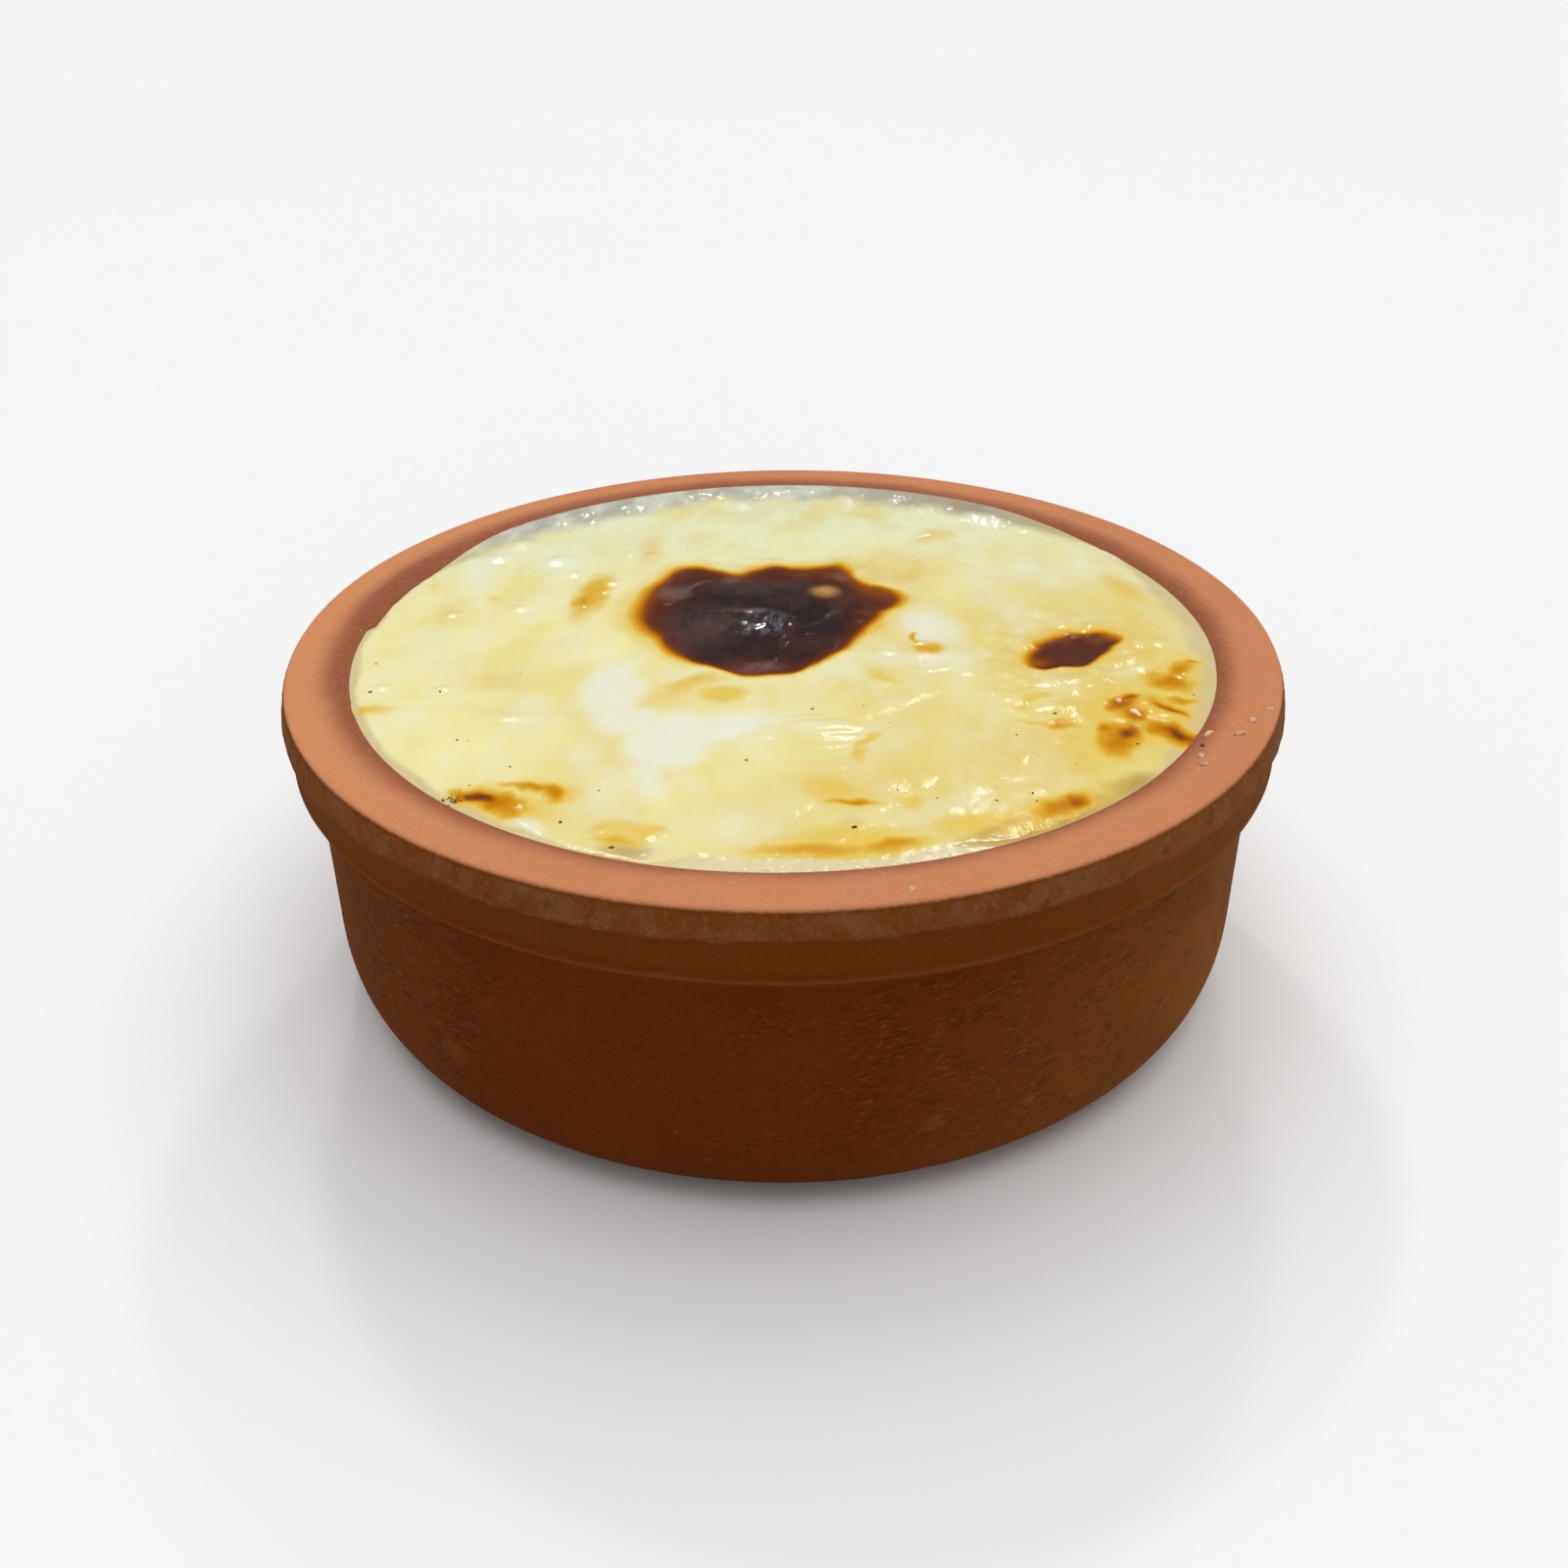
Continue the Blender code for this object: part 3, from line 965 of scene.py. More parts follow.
# Soft folds in the skin, as ovals and as arcs, with heights in mm that skin_height lowers
FOLDS = (
    (3.4, -23.8, 4.6, 1.5, 6, 0.36, 0.5),
    (2.0, -21.6, 3.2, 0.5, 10, 0.16, 0.8),
    (5.4, -25.8, 3.0, 0.5, 4, 0.16, 0.8),
    (-1.4, -25.6, 2.6, 0.5, 14, 0.16, 0.8),
    (12.4, -4.8, 1.0, 0.6, 0, 0.2, 0.9),
    (16.4, -2.4, 1.4, 0.5, 8, 0.2, 0.9),
    (-6.8, -24.0, 1.8, 1.4, 20, 0.14, 0.8),
    (12.0, -18.5, 9.0, 1.0, 36, 0.10, 0.9),
    (-10.4, -13.4, 4.4, 1.8, 42, 0.20, 0.7),
    (-6.8, -16.0, 2.6, 1.8, 10, 0.20, 0.7),
    (17.6, -4.2, 2.4, 2.2, 0, 0.22, 0.7),
    (-31.0, 25.2, 1.5, 1.3, 0, 0.44, 0.9),
    (-39.2, 26.0, 1.3, 1.1, 0, 0.38, 0.9),
    (-21.0, 27.5, 0.8, 0.9, 0, 0.32, 0.9),
    (-18.2, 27.0, 0.7, 0.8, 0, 0.28, 0.9),
    (-28.0, 20.6, 0.8, 0.8, 0, 0.26, 0.9),
    (-40.0, -13.4, 1.0, 0.7, 0, 0.26, 0.9),
    (-47.0, -13.0, 0.8, 0.6, 0, 0.24, 0.9),
    (-24.9, 13.0, 7.0, 1.9, 82, 0.26, 0.6),
    (-23.6, 16.8, 1.6, 0.6, 35, 0.24, 0.9),
    (-24.6, 13.6, 1.4, 0.5, 35, 0.20, 0.9),
    (-25.6, 9.6, 0.9, 0.6, 20, 0.22, 0.9),
    (-42.4, 7.8, 1.2, 0.8, 10, 0.28, 0.9),
    (-34.2, 9.0, 1.0, 0.8, 0, 0.28, 0.9),
    (-2.4, 24.8, 2.2, 0.9, 0, 0.36, 0.9),
    (10.8, 21.0, 0.8, 1.3, -20, 0.26, 0.9),
    (35.0, -5.2, 5.4, 3.2, 40, -0.08, 0.7),
    (38.8, 2.2, 1.6, 0.7, 55, 0.30, 0.9),
    (43.0, -7.0, 3.4, 0.9, 22, 0.26, 0.9),
    (34.5, -12.6, 3.4, 1.0, 10, 0.22, 0.9),
    (47.4, -11.0, 1.2, 0.7, 70, 0.34, 0.9),
    (40.4, -19.8, 2.4, 1.4, 20, 0.12, 0.8),
    (42.6, -21.6, 2.4, 0.8, -30, 0.24, 0.9),
    (33.0, -19.4, 1.9, 1.4, 0, 0.24, 0.9),
    (37.4, -26.2, 2.6, 1.5, 64, -0.10, 0.8),
    (43.0, -26.0, 2.8, 1.1, -54, -0.10, 0.8),
    (26.4, -31.0, 0.9, 0.8, 0, 0.26, 0.9),
    (16.6, -41.4, 1.2, 0.7, 10, 0.14, 0.9),
    (-27.4, -39.6, 0.8, 0.6, -30, 0.2, 0.9),
    (-30.0, -39.0, 4.0, 1.4, -20, 0.18, 0.8),
    (-24.4, -37.2, 2.6, 1.2, -20, 0.14, 0.8),
    (-12.9, -45.8, 1.0, 0.8, -40, 0.24, 0.9),
    (-26.4, -43.6, 1.6, 0.8, -35, 0.26, 0.9),
    (5.6, 13.0, 1.8, 2.0, 0, 0.26, 0.8),
    (-4.8, 7.2, 3.6, 0.5, -6, 0.18, 0.9),
    (-12.0, 15.6, 3.0, 0.6, 38, 0.16, 0.9),
    (-4.4, 2.0, 1.3, 0.6, 20, 0.18, 0.9),
    (-3.0, 3.2, 1.1, 0.6, 30, 0.20, 0.9),
    (-0.8, 4.3, 1.0, 0.6, 24, 0.20, 0.9),
    (-2.0, 5.2, 1.4, 0.5, 14, 0.16, 0.9),
    (-4.6, 4.2, 0.9, 0.6, 30, 0.16, 0.9),
    (0.6, 3.4, 0.8, 0.6, 24, 0.18, 0.9),
    (-6.0, 46.2, 0.9, 1.6, 0, 0.4, 0.9),
    (10.0, 46.6, 0.9, 2.0, 0, 0.4, 0.9),
    (2.2, 41.6, 0.9, 1.4, 0, 0.3, 0.9),
    (-9.0, 50.4, 0.8, 1.4, 0, 0.4, 0.9),
    (-12.6, 50.0, 1.6, 1.0, 10, 0.36, 0.9),
    (-3.4, 51.0, 0.8, 1.2, 0, 0.4, 0.9),
    (1.6, 50.8, 1.6, 1.0, 0, 0.4, 0.9),
    (17.0, 48.6, 1.4, 1.4, -20, 0.4, 0.9),
    (29.4, 39.8, 3.0, 1.8, -30, 0.4, 0.8),
    (-22.4, 45.6, 1.2, 1.6, 20, 0.4, 0.9),
    (-29.6, 41.6, 3.2, 0.8, 50, 0.36, 0.9),
    (-36.4, 30.6, 1.4, 1.4, 30, 0.3, 0.9),
    (-38.0, -19.4, 10.0, 1.1, -6, 0.12, 0.9),
    (-39.0, -15.6, 9.0, 1.0, 12, 0.1, 0.9),
    (-41.0, -23.0, 7.0, 1.0, -28, 0.1, 0.9),
    (-30.0, -20.8, 3.0, 0.9, -4, 0.16, 0.9),
)
FOLD_BOWS = (
    (-31.0, 25.0, 4.8, 140, 420, 0.5, 0.12),
    (3.0, -18.0, 10.2, 222, 306, 0.4, 0.14),
    (17.0, -3.4, 6.4, 240, 360, 0.5, 0.14),
    (40.4, -21.6, 4.4, 60, 150, 0.6, 0.22),
    (-15.6, -49.5, 5.6, 30, 150, 0.8, 0.18),
    (-43.5, 21.0, 3.0, 280, 430, 0.4, 0.14),
    (22.0, 29.0, 5.0, 60, 150, 0.5, 0.14),
    (8.0, -1.0, 7.0, 200, 290, 0.5, 0.12),
    (6.0, 0.0, 8.4, 196, 280, 0.4, 0.10),
    (2.0, 14.0, 20.0, 236, 300, 0.5, 0.10),
    (0.0, 12.0, 12.0, 230, 300, 0.5, 0.08),
)


def burn_share(x, y, middle, edge):
    """How far the skin is burnt, 0 to 1, inside and round a burn with that edge."""
    turn = np.degrees(np.arctan2(y - middle[1], x - middle[0]))
    angles, radii, widths = zip(*edge)
    blur = 60 / len(edge) * np.linspace(-2, 2, 9)
    radius = np.mean([np.interp(turn + b, angles, radii, period=360) for b in blur], axis=0)
    width = np.interp(turn, angles, widths, period=360)
    gap = (np.hypot(x - middle[0], y - middle[1]) - radius) / width
    return np.interp(gap, [-4.0, -1.3, -0.5, 0.0, 0.6, 1.3, 4.0], [0.95, 0.8, 0.66, 0.46, 0.26, 0.13, 0.0])


def browning(x, y):
    """How far the skin is burnt, 0 to 1."""
    wx = x + 0.35 * grain(x, y * 0.6, 3.4, 11)
    wy = y + 0.5 * grain(x, y * 0.6, 3.4, 13)
    large = burn_share(wx, wy, LARGE_BURN_MIDDLE, LARGE_BURN)
    right = np.minimum(burn_share(wx, wy, RIGHT_BURN_MIDDLE, RIGHT_BURN), 0.79)
    sx, sy = wx + 0.6 * grain(x, y * 0.7, 1.8, 15), wy + 0.6 * grain(x, y * 0.7, 1.8, 16)
    small = layered(sx, sy, BURNS, BURN_BOWS)
    paler = sum(oval(wx, wy, spot) for spot in PALER_SPOTS)
    return np.clip(np.maximum(np.maximum(large, right), small) - paler, 0, 1)


def brim_film(x, y):
    """Wet film along the brim, 0 to 1, and how far a point is at the back and at the front."""
    radius, angle = np.hypot(x, y), np.degrees(np.arctan2(y, x))
    back = step(angle, 28, 60) * (1 - step(angle, 132, 162))
    left = step(angle, 145, 170) + 1 - step(angle, -122, -108)
    right = step(angle, -44, -30) * (1 - step(angle, 14, 30))
    front = step(angle, -106, -98) * (1 - step(angle, -73, -65))
    width = 0.25 + 4.4 * back + 0.9 * np.clip(left, 0, 1) + 2.2 * right + 2.2 * front
    width = width * (1 + 0.35 * grain(x, y, 6.0, 21)) + 0.15 * grain(x, y, 1.6, 22)
    inner = 52.9 - width
    soft = 0.3 + 2.2 * back + 0.9 * right
    return step(radius, inner - soft, inner + soft), back, front


def lively(x, y):
    """Where the skin is full of small blisters, 0 to 1."""
    places = (
        (38.0, -10.0, 15.0, 17.0, 0, 1.0, 0.6),
        (16.0, -38.0, 14.0, 8.0, 20, 0.32, 0.7),
        (0.0, -12.0, 16.0, 6.0, 0, 0.4, 0.7),
        (-38.0, 12.0, 12.0, 10.0, 0, 0.35, 0.7),
        (-6.0, 28.0, 24.0, 6.0, 0, 0.3, 0.7),
        (26.0, 28.0, 12.0, 12.0, 0, 0.45, 0.7),
        (8.0, 42.0, 30.0, 8.0, 0, 0.5, 0.7),
        (-28.0, -40.0, 9.0, 5.0, -20, 0.3, 0.7),
    )
    return layered(x, y, places)


def bulges(x, y):
    """Low rounded swellings in mm where grains of rice lift the skin."""
    rng = np.random.default_rng(31)
    height = np.zeros_like(x)
    for cx, cy, turn, share in rng.uniform((-49, -49, -30, 0), (49, 49, 40, 1), (900, 4)):
        busy = float(lively(np.array(cx), np.array(cy)))
        if math.hypot(cx, cy) > 50 or busy < 0.25 and share < 0.6:
            continue
        tall = 0.03 + 0.13 * share * busy
        wide = 0.35 + 0.75 * share
        height = np.maximum(height, oval(x, y, (cx, cy, wide, 1.15 * wide, turn, tall, 0.95)))
    return height


def skin_height(x, y, pudding):
    """Height in mm of the skin over the pudding's level."""
    radius = np.hypot(x, y)
    squeezed = y * 0.6
    burnt = browning(x, y)
    film, back, front = brim_film(x, y)
    crust = step(burnt, 0.5, 0.8)
    busy = lively(x, y)

    waves = pudding.wave / MM * cloud(x, y, 15.0, 2, 41)
    off = np.hypot(x - BLISTER_MIDDLE[0], y - BLISTER_MIDDLE[1]) / BLISTER_RADIUS
    blister = pudding.blister / MM * np.clip(1 - off * off, 0, 1) ** 1.4
    ripples = (0.015 + 0.045 * busy) * cloud(x, squeezed, 1.7, 2, 43) + 0.08 * grain(x, squeezed, 5.0, 44)

    # The crust of the burns, smoother on the right one and puckered round the large one's knot
    smoother = step(x, 20, 26)
    crackle = crust * (0.07 - 0.04 * smoother) * cloud(x, y * 0.55, 2.8, 2, 45)
    slanted = np.abs(grain(x * 0.8 + 0.2 * y, y * 0.5 - 0.1 * x, 2.6, 49))
    creased = crust * (0.09 - 0.06 * smoother) * slanted
    centre = oval(x, y, (-2.0, 2.8, 5.4, 4.0, -8, 1.0, 0.8))
    wrinkles = centre * 0.09 * (0.5 - np.abs(grain(x, y * 0.7 - x * 0.2, 1.9, 46)) * 1.8)

    folds = 0.85 * sum(oval(x, y, fold) for fold in FOLDS)
    folds = folds + 0.5 * sum(bow(x, y, fold) for fold in FOLD_BOWS)

    # The brim, drawn down along the clay, but beaded and climbing at the back, and frothy at the front
    drawn = -0.16 * film * (1 - back) * (1 - 0.5 * front)
    climb = 0.5 * back * step(radius, 46, 53.5)
    beaded = step(radius, 44, 49) * (1 - step(radius, 51, 53))
    wet = 0.14 * beaded * back * cloud(x, squeezed, 1.9, 2, 47)
    froth = 0.09 * film * front * cloud(x, y * 0.7, 1.3, 1, 48)
    settle = step(radius, 50, 53)

    return (
        waves * (1 - settle)
        + blister
        + (ripples + bulges(x, y) * (1 - step(burnt, 0.15, 0.45))) * (1 - crust) * (1 - settle)
        + crackle
        - creased
        + wrinkles
        + folds * (1 - 0.6 * step(burnt, 0.15, 0.4) * (1 - crust))
        + drawn
        + climb
        + wet
        + froth
    )


def disc_grid(radius, rings):
    """Points x, y and faces of a square grid bent into even rings, and the outermost ring."""
    steps = np.arange(-rings, rings + 1)
    i, j = np.meshgrid(steps, steps, indexing="ij")
    wide = np.abs(i) >= np.abs(j)
    along = np.where(wide, j / np.where(i == 0, 1, i), i / np.where(j == 0, 1, j)) * np.pi / 4
    turn = np.where(wide, along + np.pi * (i < 0), np.pi / 2 - along + np.pi * (j < 0))
    out = radius * np.maximum(np.abs(i), np.abs(j)) / rings
    x, y = (out * np.cos(turn)).ravel(), (out * np.sin(turn)).ravel()
    side = 2 * rings + 1
    first = (np.arange(side - 1)[:, None] * side + np.arange(side - 1)).ravel()
    faces = np.stack([first, first + side, first + side + 1, first + 1], axis=1)
    last = side - 1
    edge = [(k, 0) for k in range(last)] + [(last, k) for k in range(last)]
    edge += [(last - k, last) for k in range(last)] + [(0, last - k) for k in range(last)]
    return x, y, faces.tolist(), [a * side + b for a, b in edge]


def skin_mesh(pudding):
    """The pudding as one closed body: fine skin on top, plain where the clay hides it."""
    x, y, faces, brim = disc_grid(pudding.reach, pudding.rings)
    height = pudding.level + MM * skin_height(x / MM, y / MM, pudding)
    points = np.stack([x, y, height], axis=1).tolist()
    angles = [math.atan2(y[k], x[k]) for k in brim]
    floor = PUDDING_BOX[0].z
    # Hidden rings under the brim: radius and height
    hidden = [(51.4 * MM, BOWL_TOP - 4.2 * MM), (50.9 * MM, floor + 9 * MM), (42 * MM, floor + 0.5 * MM)]
    ring = brim
    for radius, level in hidden:
        below = list(range(len(points), len(points) + len(brim)))
        points += [(radius * math.cos(a), radius * math.sin(a), level) for a in angles]
        for k in range(len(brim)):
            after = (k + 1) % len(brim)
            faces.append((ring[after], ring[k], below[k], below[after]))
        ring = below
    points.append((0.0, 0.0, floor))
    faces += [(ring[(k + 1) % len(ring)], ring[k], len(points) - 1) for k in range(len(ring))]
    mesh = bpy.data.meshes.new("pudding_skin")
    mesh.from_pydata(points, [], faces)
    store_fields(mesh, np.array(points)[:, 0] / MM, np.array(points)[:, 1] / MM)
    mesh.shade_smooth()
    return mesh


def store_fields(mesh, x, y):
    """Keeps what the skin's material reads at each point."""
    film, back, front = brim_film(x, y)
    wx = x + 0.6 * grain(x, y, 4.0, 61) + 0.3 * grain(x, y, 1.5, 62)
    wy = y + 0.6 * grain(x, y, 4.0, 63) + 0.3 * grain(x, y, 1.5, 64)
    fields = {
        "browning": browning(x, y),
        "gold": layered(wx, wy, GOLD_PATCHES, GOLD_BOWS),
        "milk": layered(wx, wy, MILK_AND_HIGHLIGHT_PATCHES),
        "whey": layered(wx, wy, WHEY_PATCHES),
        "ash": layered(wx, wy, ASH_AND_HIGHLIGHT_PATCHES),
        "film": film,
        "back": back * film,
        "front": front * film,
        "busy": lively(x, y),
        "lump": bulges(x, y) / 0.15,
    }
    for name, values in fields.items():
        mesh.attributes.new(name, "FLOAT", "POINT").data.foreach_set("value", values.astype(np.float32))


def milky_shade(board, pudding, at, medium, small):
    """Skin that isn't burnt: creamy to the left, yellower to the right, duller at the back."""
    x, y, z = board.split(at)
    busy = board.field("busy")
    broad = board.noise(at, 16 * MM, 3.0, 0.55)
    warmth = x * 12 - y * 9 + (broad - 0.5) * 1.8 + (medium - 0.5) * 0.6
    base = board.mix(board.smooth(warmth, -0.5, 0.6), tuple(pudding.cream), tuple(pudding.butter))
    farther = board.smooth(y + (broad - 0.5) * (30 * MM), 8 * MM, 40 * MM)
    base = board.mix(farther, base, tuple(pudding.pale))
    base = board.mix(board.smooth(medium, 0.42, 0.72) * 0.3, base, CURD)
    patchy = board.noise(board.join(x, y * FLATTEN, z), 7 * MM, 2.0, 0.5)
    base = board.mix(board.smooth(patchy, 0.5, 0.68) * 0.5, base, PALE_CLOUD)
    base = board.mix(board.smooth(patchy, 0.5, 0.32) * 0.4, base, YELLOW_CLOUD)
    base = board.mix(busy * board.smooth(medium, 0.56, 0.36) * 0.4, base, BETWEEN_LUMPS)
    gold = board.smooth(board.field("gold") + (medium - 0.5) * 0.6 + (small - 0.5) * 0.2, 0.08, 0.9)
    base = board.mix(gold * 0.9, base, tuple(pudding.gold))
    lump_top = board.smooth(board.field("lump"), 0.1, 0.8) * (0.36 - gold * 0.3)
    base = board.mix(lump_top, base, LUMP_TOP)
    # White milky patches, some of them painted highlights
    milk = board.smooth(board.field("milk") + (medium - 0.5) * 0.3, 0.0, 1.0)
    base = board.mix(milk * 0.9, base, tuple(pudding.milk))
    whey = board.smooth(board.field("whey") + (medium - 0.5) * 0.4, 0.1, 1.0)
    thin = board.mix(board.smooth(y, -30 * MM, 10 * MM), THIN_SKIN, tuple(pudding.whey))
    return board.mix(whey * 0.7, base, thin)


def brim_shade(board, at, medium, small):
    """Wet film along the brim, pale at the front and greyer at the back."""
    rightward = board.smooth(board.split(at)[0], 0.0, 28 * MM)
    pale_wet = board.mix(rightward, *PALE_FILM)
    dull_wet = board.mix(rightward, *DULL_FILM)
    wet = board.mix(board.smooth(medium + (small - 0.5) * 0.3, 0.3, 0.66), pale_wet, dull_wet)
    strip = board.mix(board.field("front"), FILM_AT_SIDE, FILM_AT_FRONT)
    return board.mix(board.field("back"), strip, wet)


def scorch_shade(board, pudding, burnt):
    """Colour of the skin from hardly browned to charred."""
    stops = [
        (0.03, FIRST_BROWNING),
        (0.13, tuple(pudding.gold)),
        (0.3, tuple(pudding.amber)),
        (0.45, tuple(pudding.copper)),
        (0.6, tuple(pudding.russet)),
        (0.76, tuple(pudding.maroon)),
        (0.95, tuple(pudding.char)),
    ]
    return board.add("ShaderNodeValToRGB", {"stops": stops}, {"Fac": burnt})


def skin_material(pudding):
    material, board = new_material("baked milk skin")
    at = board.add("ShaderNodeTexCoord", output="Object")
    x, y, z = board.split(at)
    flattened = board.join(x, y * FLATTEN, z)
    medium = board.noise(flattened, 4.2 * MM, 1.0, 0.5)
    small = board.noise(flattened, 1.0 * MM, 2.0, 0.6)
    fine = board.noise(flattened, 0.4 * MM, 2.0, 0.5)
    busy = board.field("busy")
    front = board.field("front")

    base = milky_shade(board, pudding, at, medium, small)
    base = board.mix(board.field("film") * 0.8, base, brim_shade(board, at, medium, small))
    burnt = board.field("browning") * (1 + (small - 0.5) * 0.2 + (fine - 0.5) * 0.04)
    base = board.mix(board.smooth(burnt, 0.0, 0.2), base, scorch_shade(board, pudding, burnt))
    height = ((small - 0.5) * (0.1 + busy * 0.2) + fine * 0.1) * (1 - front * 0.7)
    bump = {"Strength": 1.0, "Distance": 0.2 * MM}
    milky = board.add(
        "ShaderNodeBsdfPrincipled",
        None,
        {
            "Base Color": base,
            "Roughness": 0.15 + (medium - 0.5) * 0.1 + front * 0.1,
            "Normal": board.add("ShaderNodeBump", None, {"Height": height, **bump}),
            "Subsurface Weight": 0.15,
            "Subsurface Radius": (1.0, 0.8, 0.5),
            "Subsurface Scale": 0.9 * MM,
            "Specular IOR Level": 0.16,
        },
    )

    crust = board.smooth(burnt, 0.5, 0.75)
    # Paler ashy places on the crust, partly painted highlights along its upper-left streaks
    ash = board.smooth(board.field("ash") * (small + 0.5), 0.2, 1.1) * crust
    scorched = board.mix(ash * 0.5, base, ASH_AND_HIGHLIGHT_SHADE)
    scorched = board.mix(board.smooth(medium, 0.45, 0.7) * crust * 0.2, scorched, CRUST_CLOUD)
    level = pudding.level / MM
    knot = board.near(at, (*KNOT, level), 1.5, 4.6)
    scorched = board.mix(knot * board.smooth(small, 0.44, 0.62) * 0.5, scorched, KNOT_SHEEN)
    tan = board.near(at, (*TAN_BLISTER, level), 0.4, 2.8)
    scorched = board.mix(tan * (0.5 + small * 0.5), scorched, TAN_SHADE)
    folded = (small - 0.5) * (0.1 + crust * 0.16)
    browned = board.add(
        "ShaderNodeBsdfPrincipled",
        None,
        {
            "Base Color": scorched,
            "Roughness": 0.14 + crust * 0.05 + (small - 0.5) * 0.06,
            "Coat Weight": knot * 0.7,
            "Normal": board.add("ShaderNodeBump", None, {"Height": folded, **bump}),
            "Coat Roughness": 0.1,
            "Specular IOR Level": 0.1,
        },
    )
    dry = board.smooth(burnt, 0.08, 0.3)
    surface = board.add("ShaderNodeMixShader", None, {"Fac": dry, 1: milky, 2: browned})
    board.add("ShaderNodeOutputMaterial", None, {"Surface": surface})
    return material


class PUDDING_OT_skin(bpy.types.Operator):
    """Set the pudding with its baked skin, burns and wet brim"""

    bl_idname = "pudding.skin"
    bl_label = "Pudding"

    def execute(self, context):
        pudding = context.scene.baked_pudding
        mesh = skin_mesh(pudding)
        mesh.materials.append(skin_material(pudding))
        skin = bpy.data.objects.new("baked_pudding", mesh)
        context.scene.collection.objects.link(skin)
        place(skin, "baked_pudding", "pudding")
        return {"FINISHED"}


# ---------------------------------------------------------------- small things

# Dark specks on the skin: x, y and size, in millimetres
SPECKS = (
    (3.3, -19.3, 0.26),
    (-4.0, -31.0, 0.24),
    (7.0, -44.7, 0.36),
    (-19.3, -37.0, 0.16),
    (-29.3, -32.0, 0.18),
    (-33.0, -35.8, 0.18),
    (-22.6, -43.2, 0.26),
    (-17.0, -48.1, 0.36),
    (-48.2, -14.2, 0.32),
    (-49.3, -6.2, 0.22),
    (30.7, -21.0, 0.26),
    (25.7, -26.0, 0.2),
    (21.8, -40.0, 0.2),
    (25.7, -38.6, 0.22),
    (25.9, -40.1, 0.18),
    (11.8, -37.4, 0.14),
    (9.2, -18.5, 0.14),
    (15.8, -39.2, 0.14),
    (38.6, -28.2, 0.24),
    (47.4, -16.6, 0.2),
    (46.4, -26.0, 0.2),
    (-40.1, -14.0, 0.16),
    (-36.0, -26.0, 0.2),
    (-34.8, -26.2, 0.14),
)

# Crumbs on the rim: x, y, half length, half width, in millimetres, and turn
CRUMBS = (
    (46.5, -27.1, 0.95, 0.26, 50),
    (52.0, -24.6, 0.6, 0.36, 80),
    (49.8, -27.6, 0.75, 0.4, 20),
    (44.5, -32.4, 0.5, 0.34, 70),
    (44.2, -34.2, 0.5, 0.3, 10),
    (54.6, -22.0, 0.35, 0.3, 0),
    (11.8, -57.0, 0.4, 0.3, 0),
)
DARK_CRUMBS = ((45.2, -30.0, 0.28, 0.22, 30),)

# Loose bubbles at the front brim: angles in degrees round the axis
LOOSE_BUBBLES = (-65.5, -70, -72.5, -74, -76, -82.5, -84, -105.5)


def seeds_mesh(name, rows):
    """Points to grow small things on: x, y, z, three half sizes and turn, in metres and radians."""
    rows = np.array(rows)
    mesh = bpy.data.meshes.new(name)
    mesh.from_pydata(rows[:, :3].tolist(), [], [])
    half = mesh.attributes.new("half", "FLOAT_VECTOR", "POINT")
    half.data.foreach_set("vector", rows[:, 3:6].ravel())
    turn = mesh.attributes.new("turn", "FLOAT", "POINT")
    turn.data.foreach_set("value", rows[:, 6].copy())
    return mesh


def seeds_tree(name):
    """Grows a rounded lump on each point and roughens it."""
    sizes = {"Faceting": "Int", "Lumpiness": "Float", "Lump size": "Float", "Seed": "Float"}
    board, given, identifiers = new_tree(name, {**sizes, "Finish": "Material"})
    facets = given["Faceting"]
    lump = board.add("GeometryNodeMeshIcoSphere", None, {"Radius": 1.0, "Subdivisions": facets})
    half = board.add("GeometryNodeInputNamedAttribute", {"data_type": "FLOAT_VECTOR"}, {"Name": "half"})
    turn = board.add("GeometryNodeInputNamedAttribute", {"data_type": "FLOAT"}, {"Name": "turn"})
    pose = {"Rotation": board.join(0.0, 0.0, turn), "Scale": half}
    grown = board.add(
        "GeometryNodeInstanceOnPoints",
        None,
        {"Points": given["Geometry"], "Instance": lump, **pose},
    )
    real = board.add("GeometryNodeRealizeInstances", None, {"Geometry": grown})
    at = board.add("GeometryNodeInputPosition")
    spread = board.add(
        "ShaderNodeTexNoise",
        {"noise_dimensions": "4D"},
        {"Vector": at, "W": given["Seed"], "Scale": 1 / given["Lump size"], "Detail": 1.0},
    )
    normal = board.add("GeometryNodeInputNormal")
    amount = (spread - 0.5) * given["Lumpiness"]
    push = board.add("ShaderNodeVectorMath", {"operation": "SCALE"}, {0: normal, "Scale": amount})
    rough = board.add("GeometryNodeSetPosition", None, {"Geometry": real, "Offset": push})
    close_tree(board, rough, given["Finish"])
    return board.tree, identifiers


def grow_seeds(name, rows, faceting, lumpiness, lump_size, finish):
    """One piece of small lumps on the skin or the rim."""
    tree, identifiers = seeds_tree(name)
    values = {
        "Faceting": faceting,
        "Lumpiness": lumpiness,
        "Lump size": lump_size,
        "Seed": 3.0,
        "Finish": finish,
    }
    piece = grow(name, seeds_mesh(name, rows), tree, identifiers, values)
    place(piece, "baked_pudding")


def on_skin(pudding, spots, lift):
    """Rows for seeds_mesh: spots (x, y, long, wide, tall, turn) in mm, lifted by that share of tall."""
    spots = np.array(spots)
    height = pudding.level / MM + skin_height(spots[:, 0], spots[:, 1], pudding)
    height = height + spots[:, 4] * lift
    places = np.column_stack([spots[:, 0], spots[:, 1], height, spots[:, 2:5]]) * MM
    return np.column_stack([places, np.radians(spots[:, 5])])


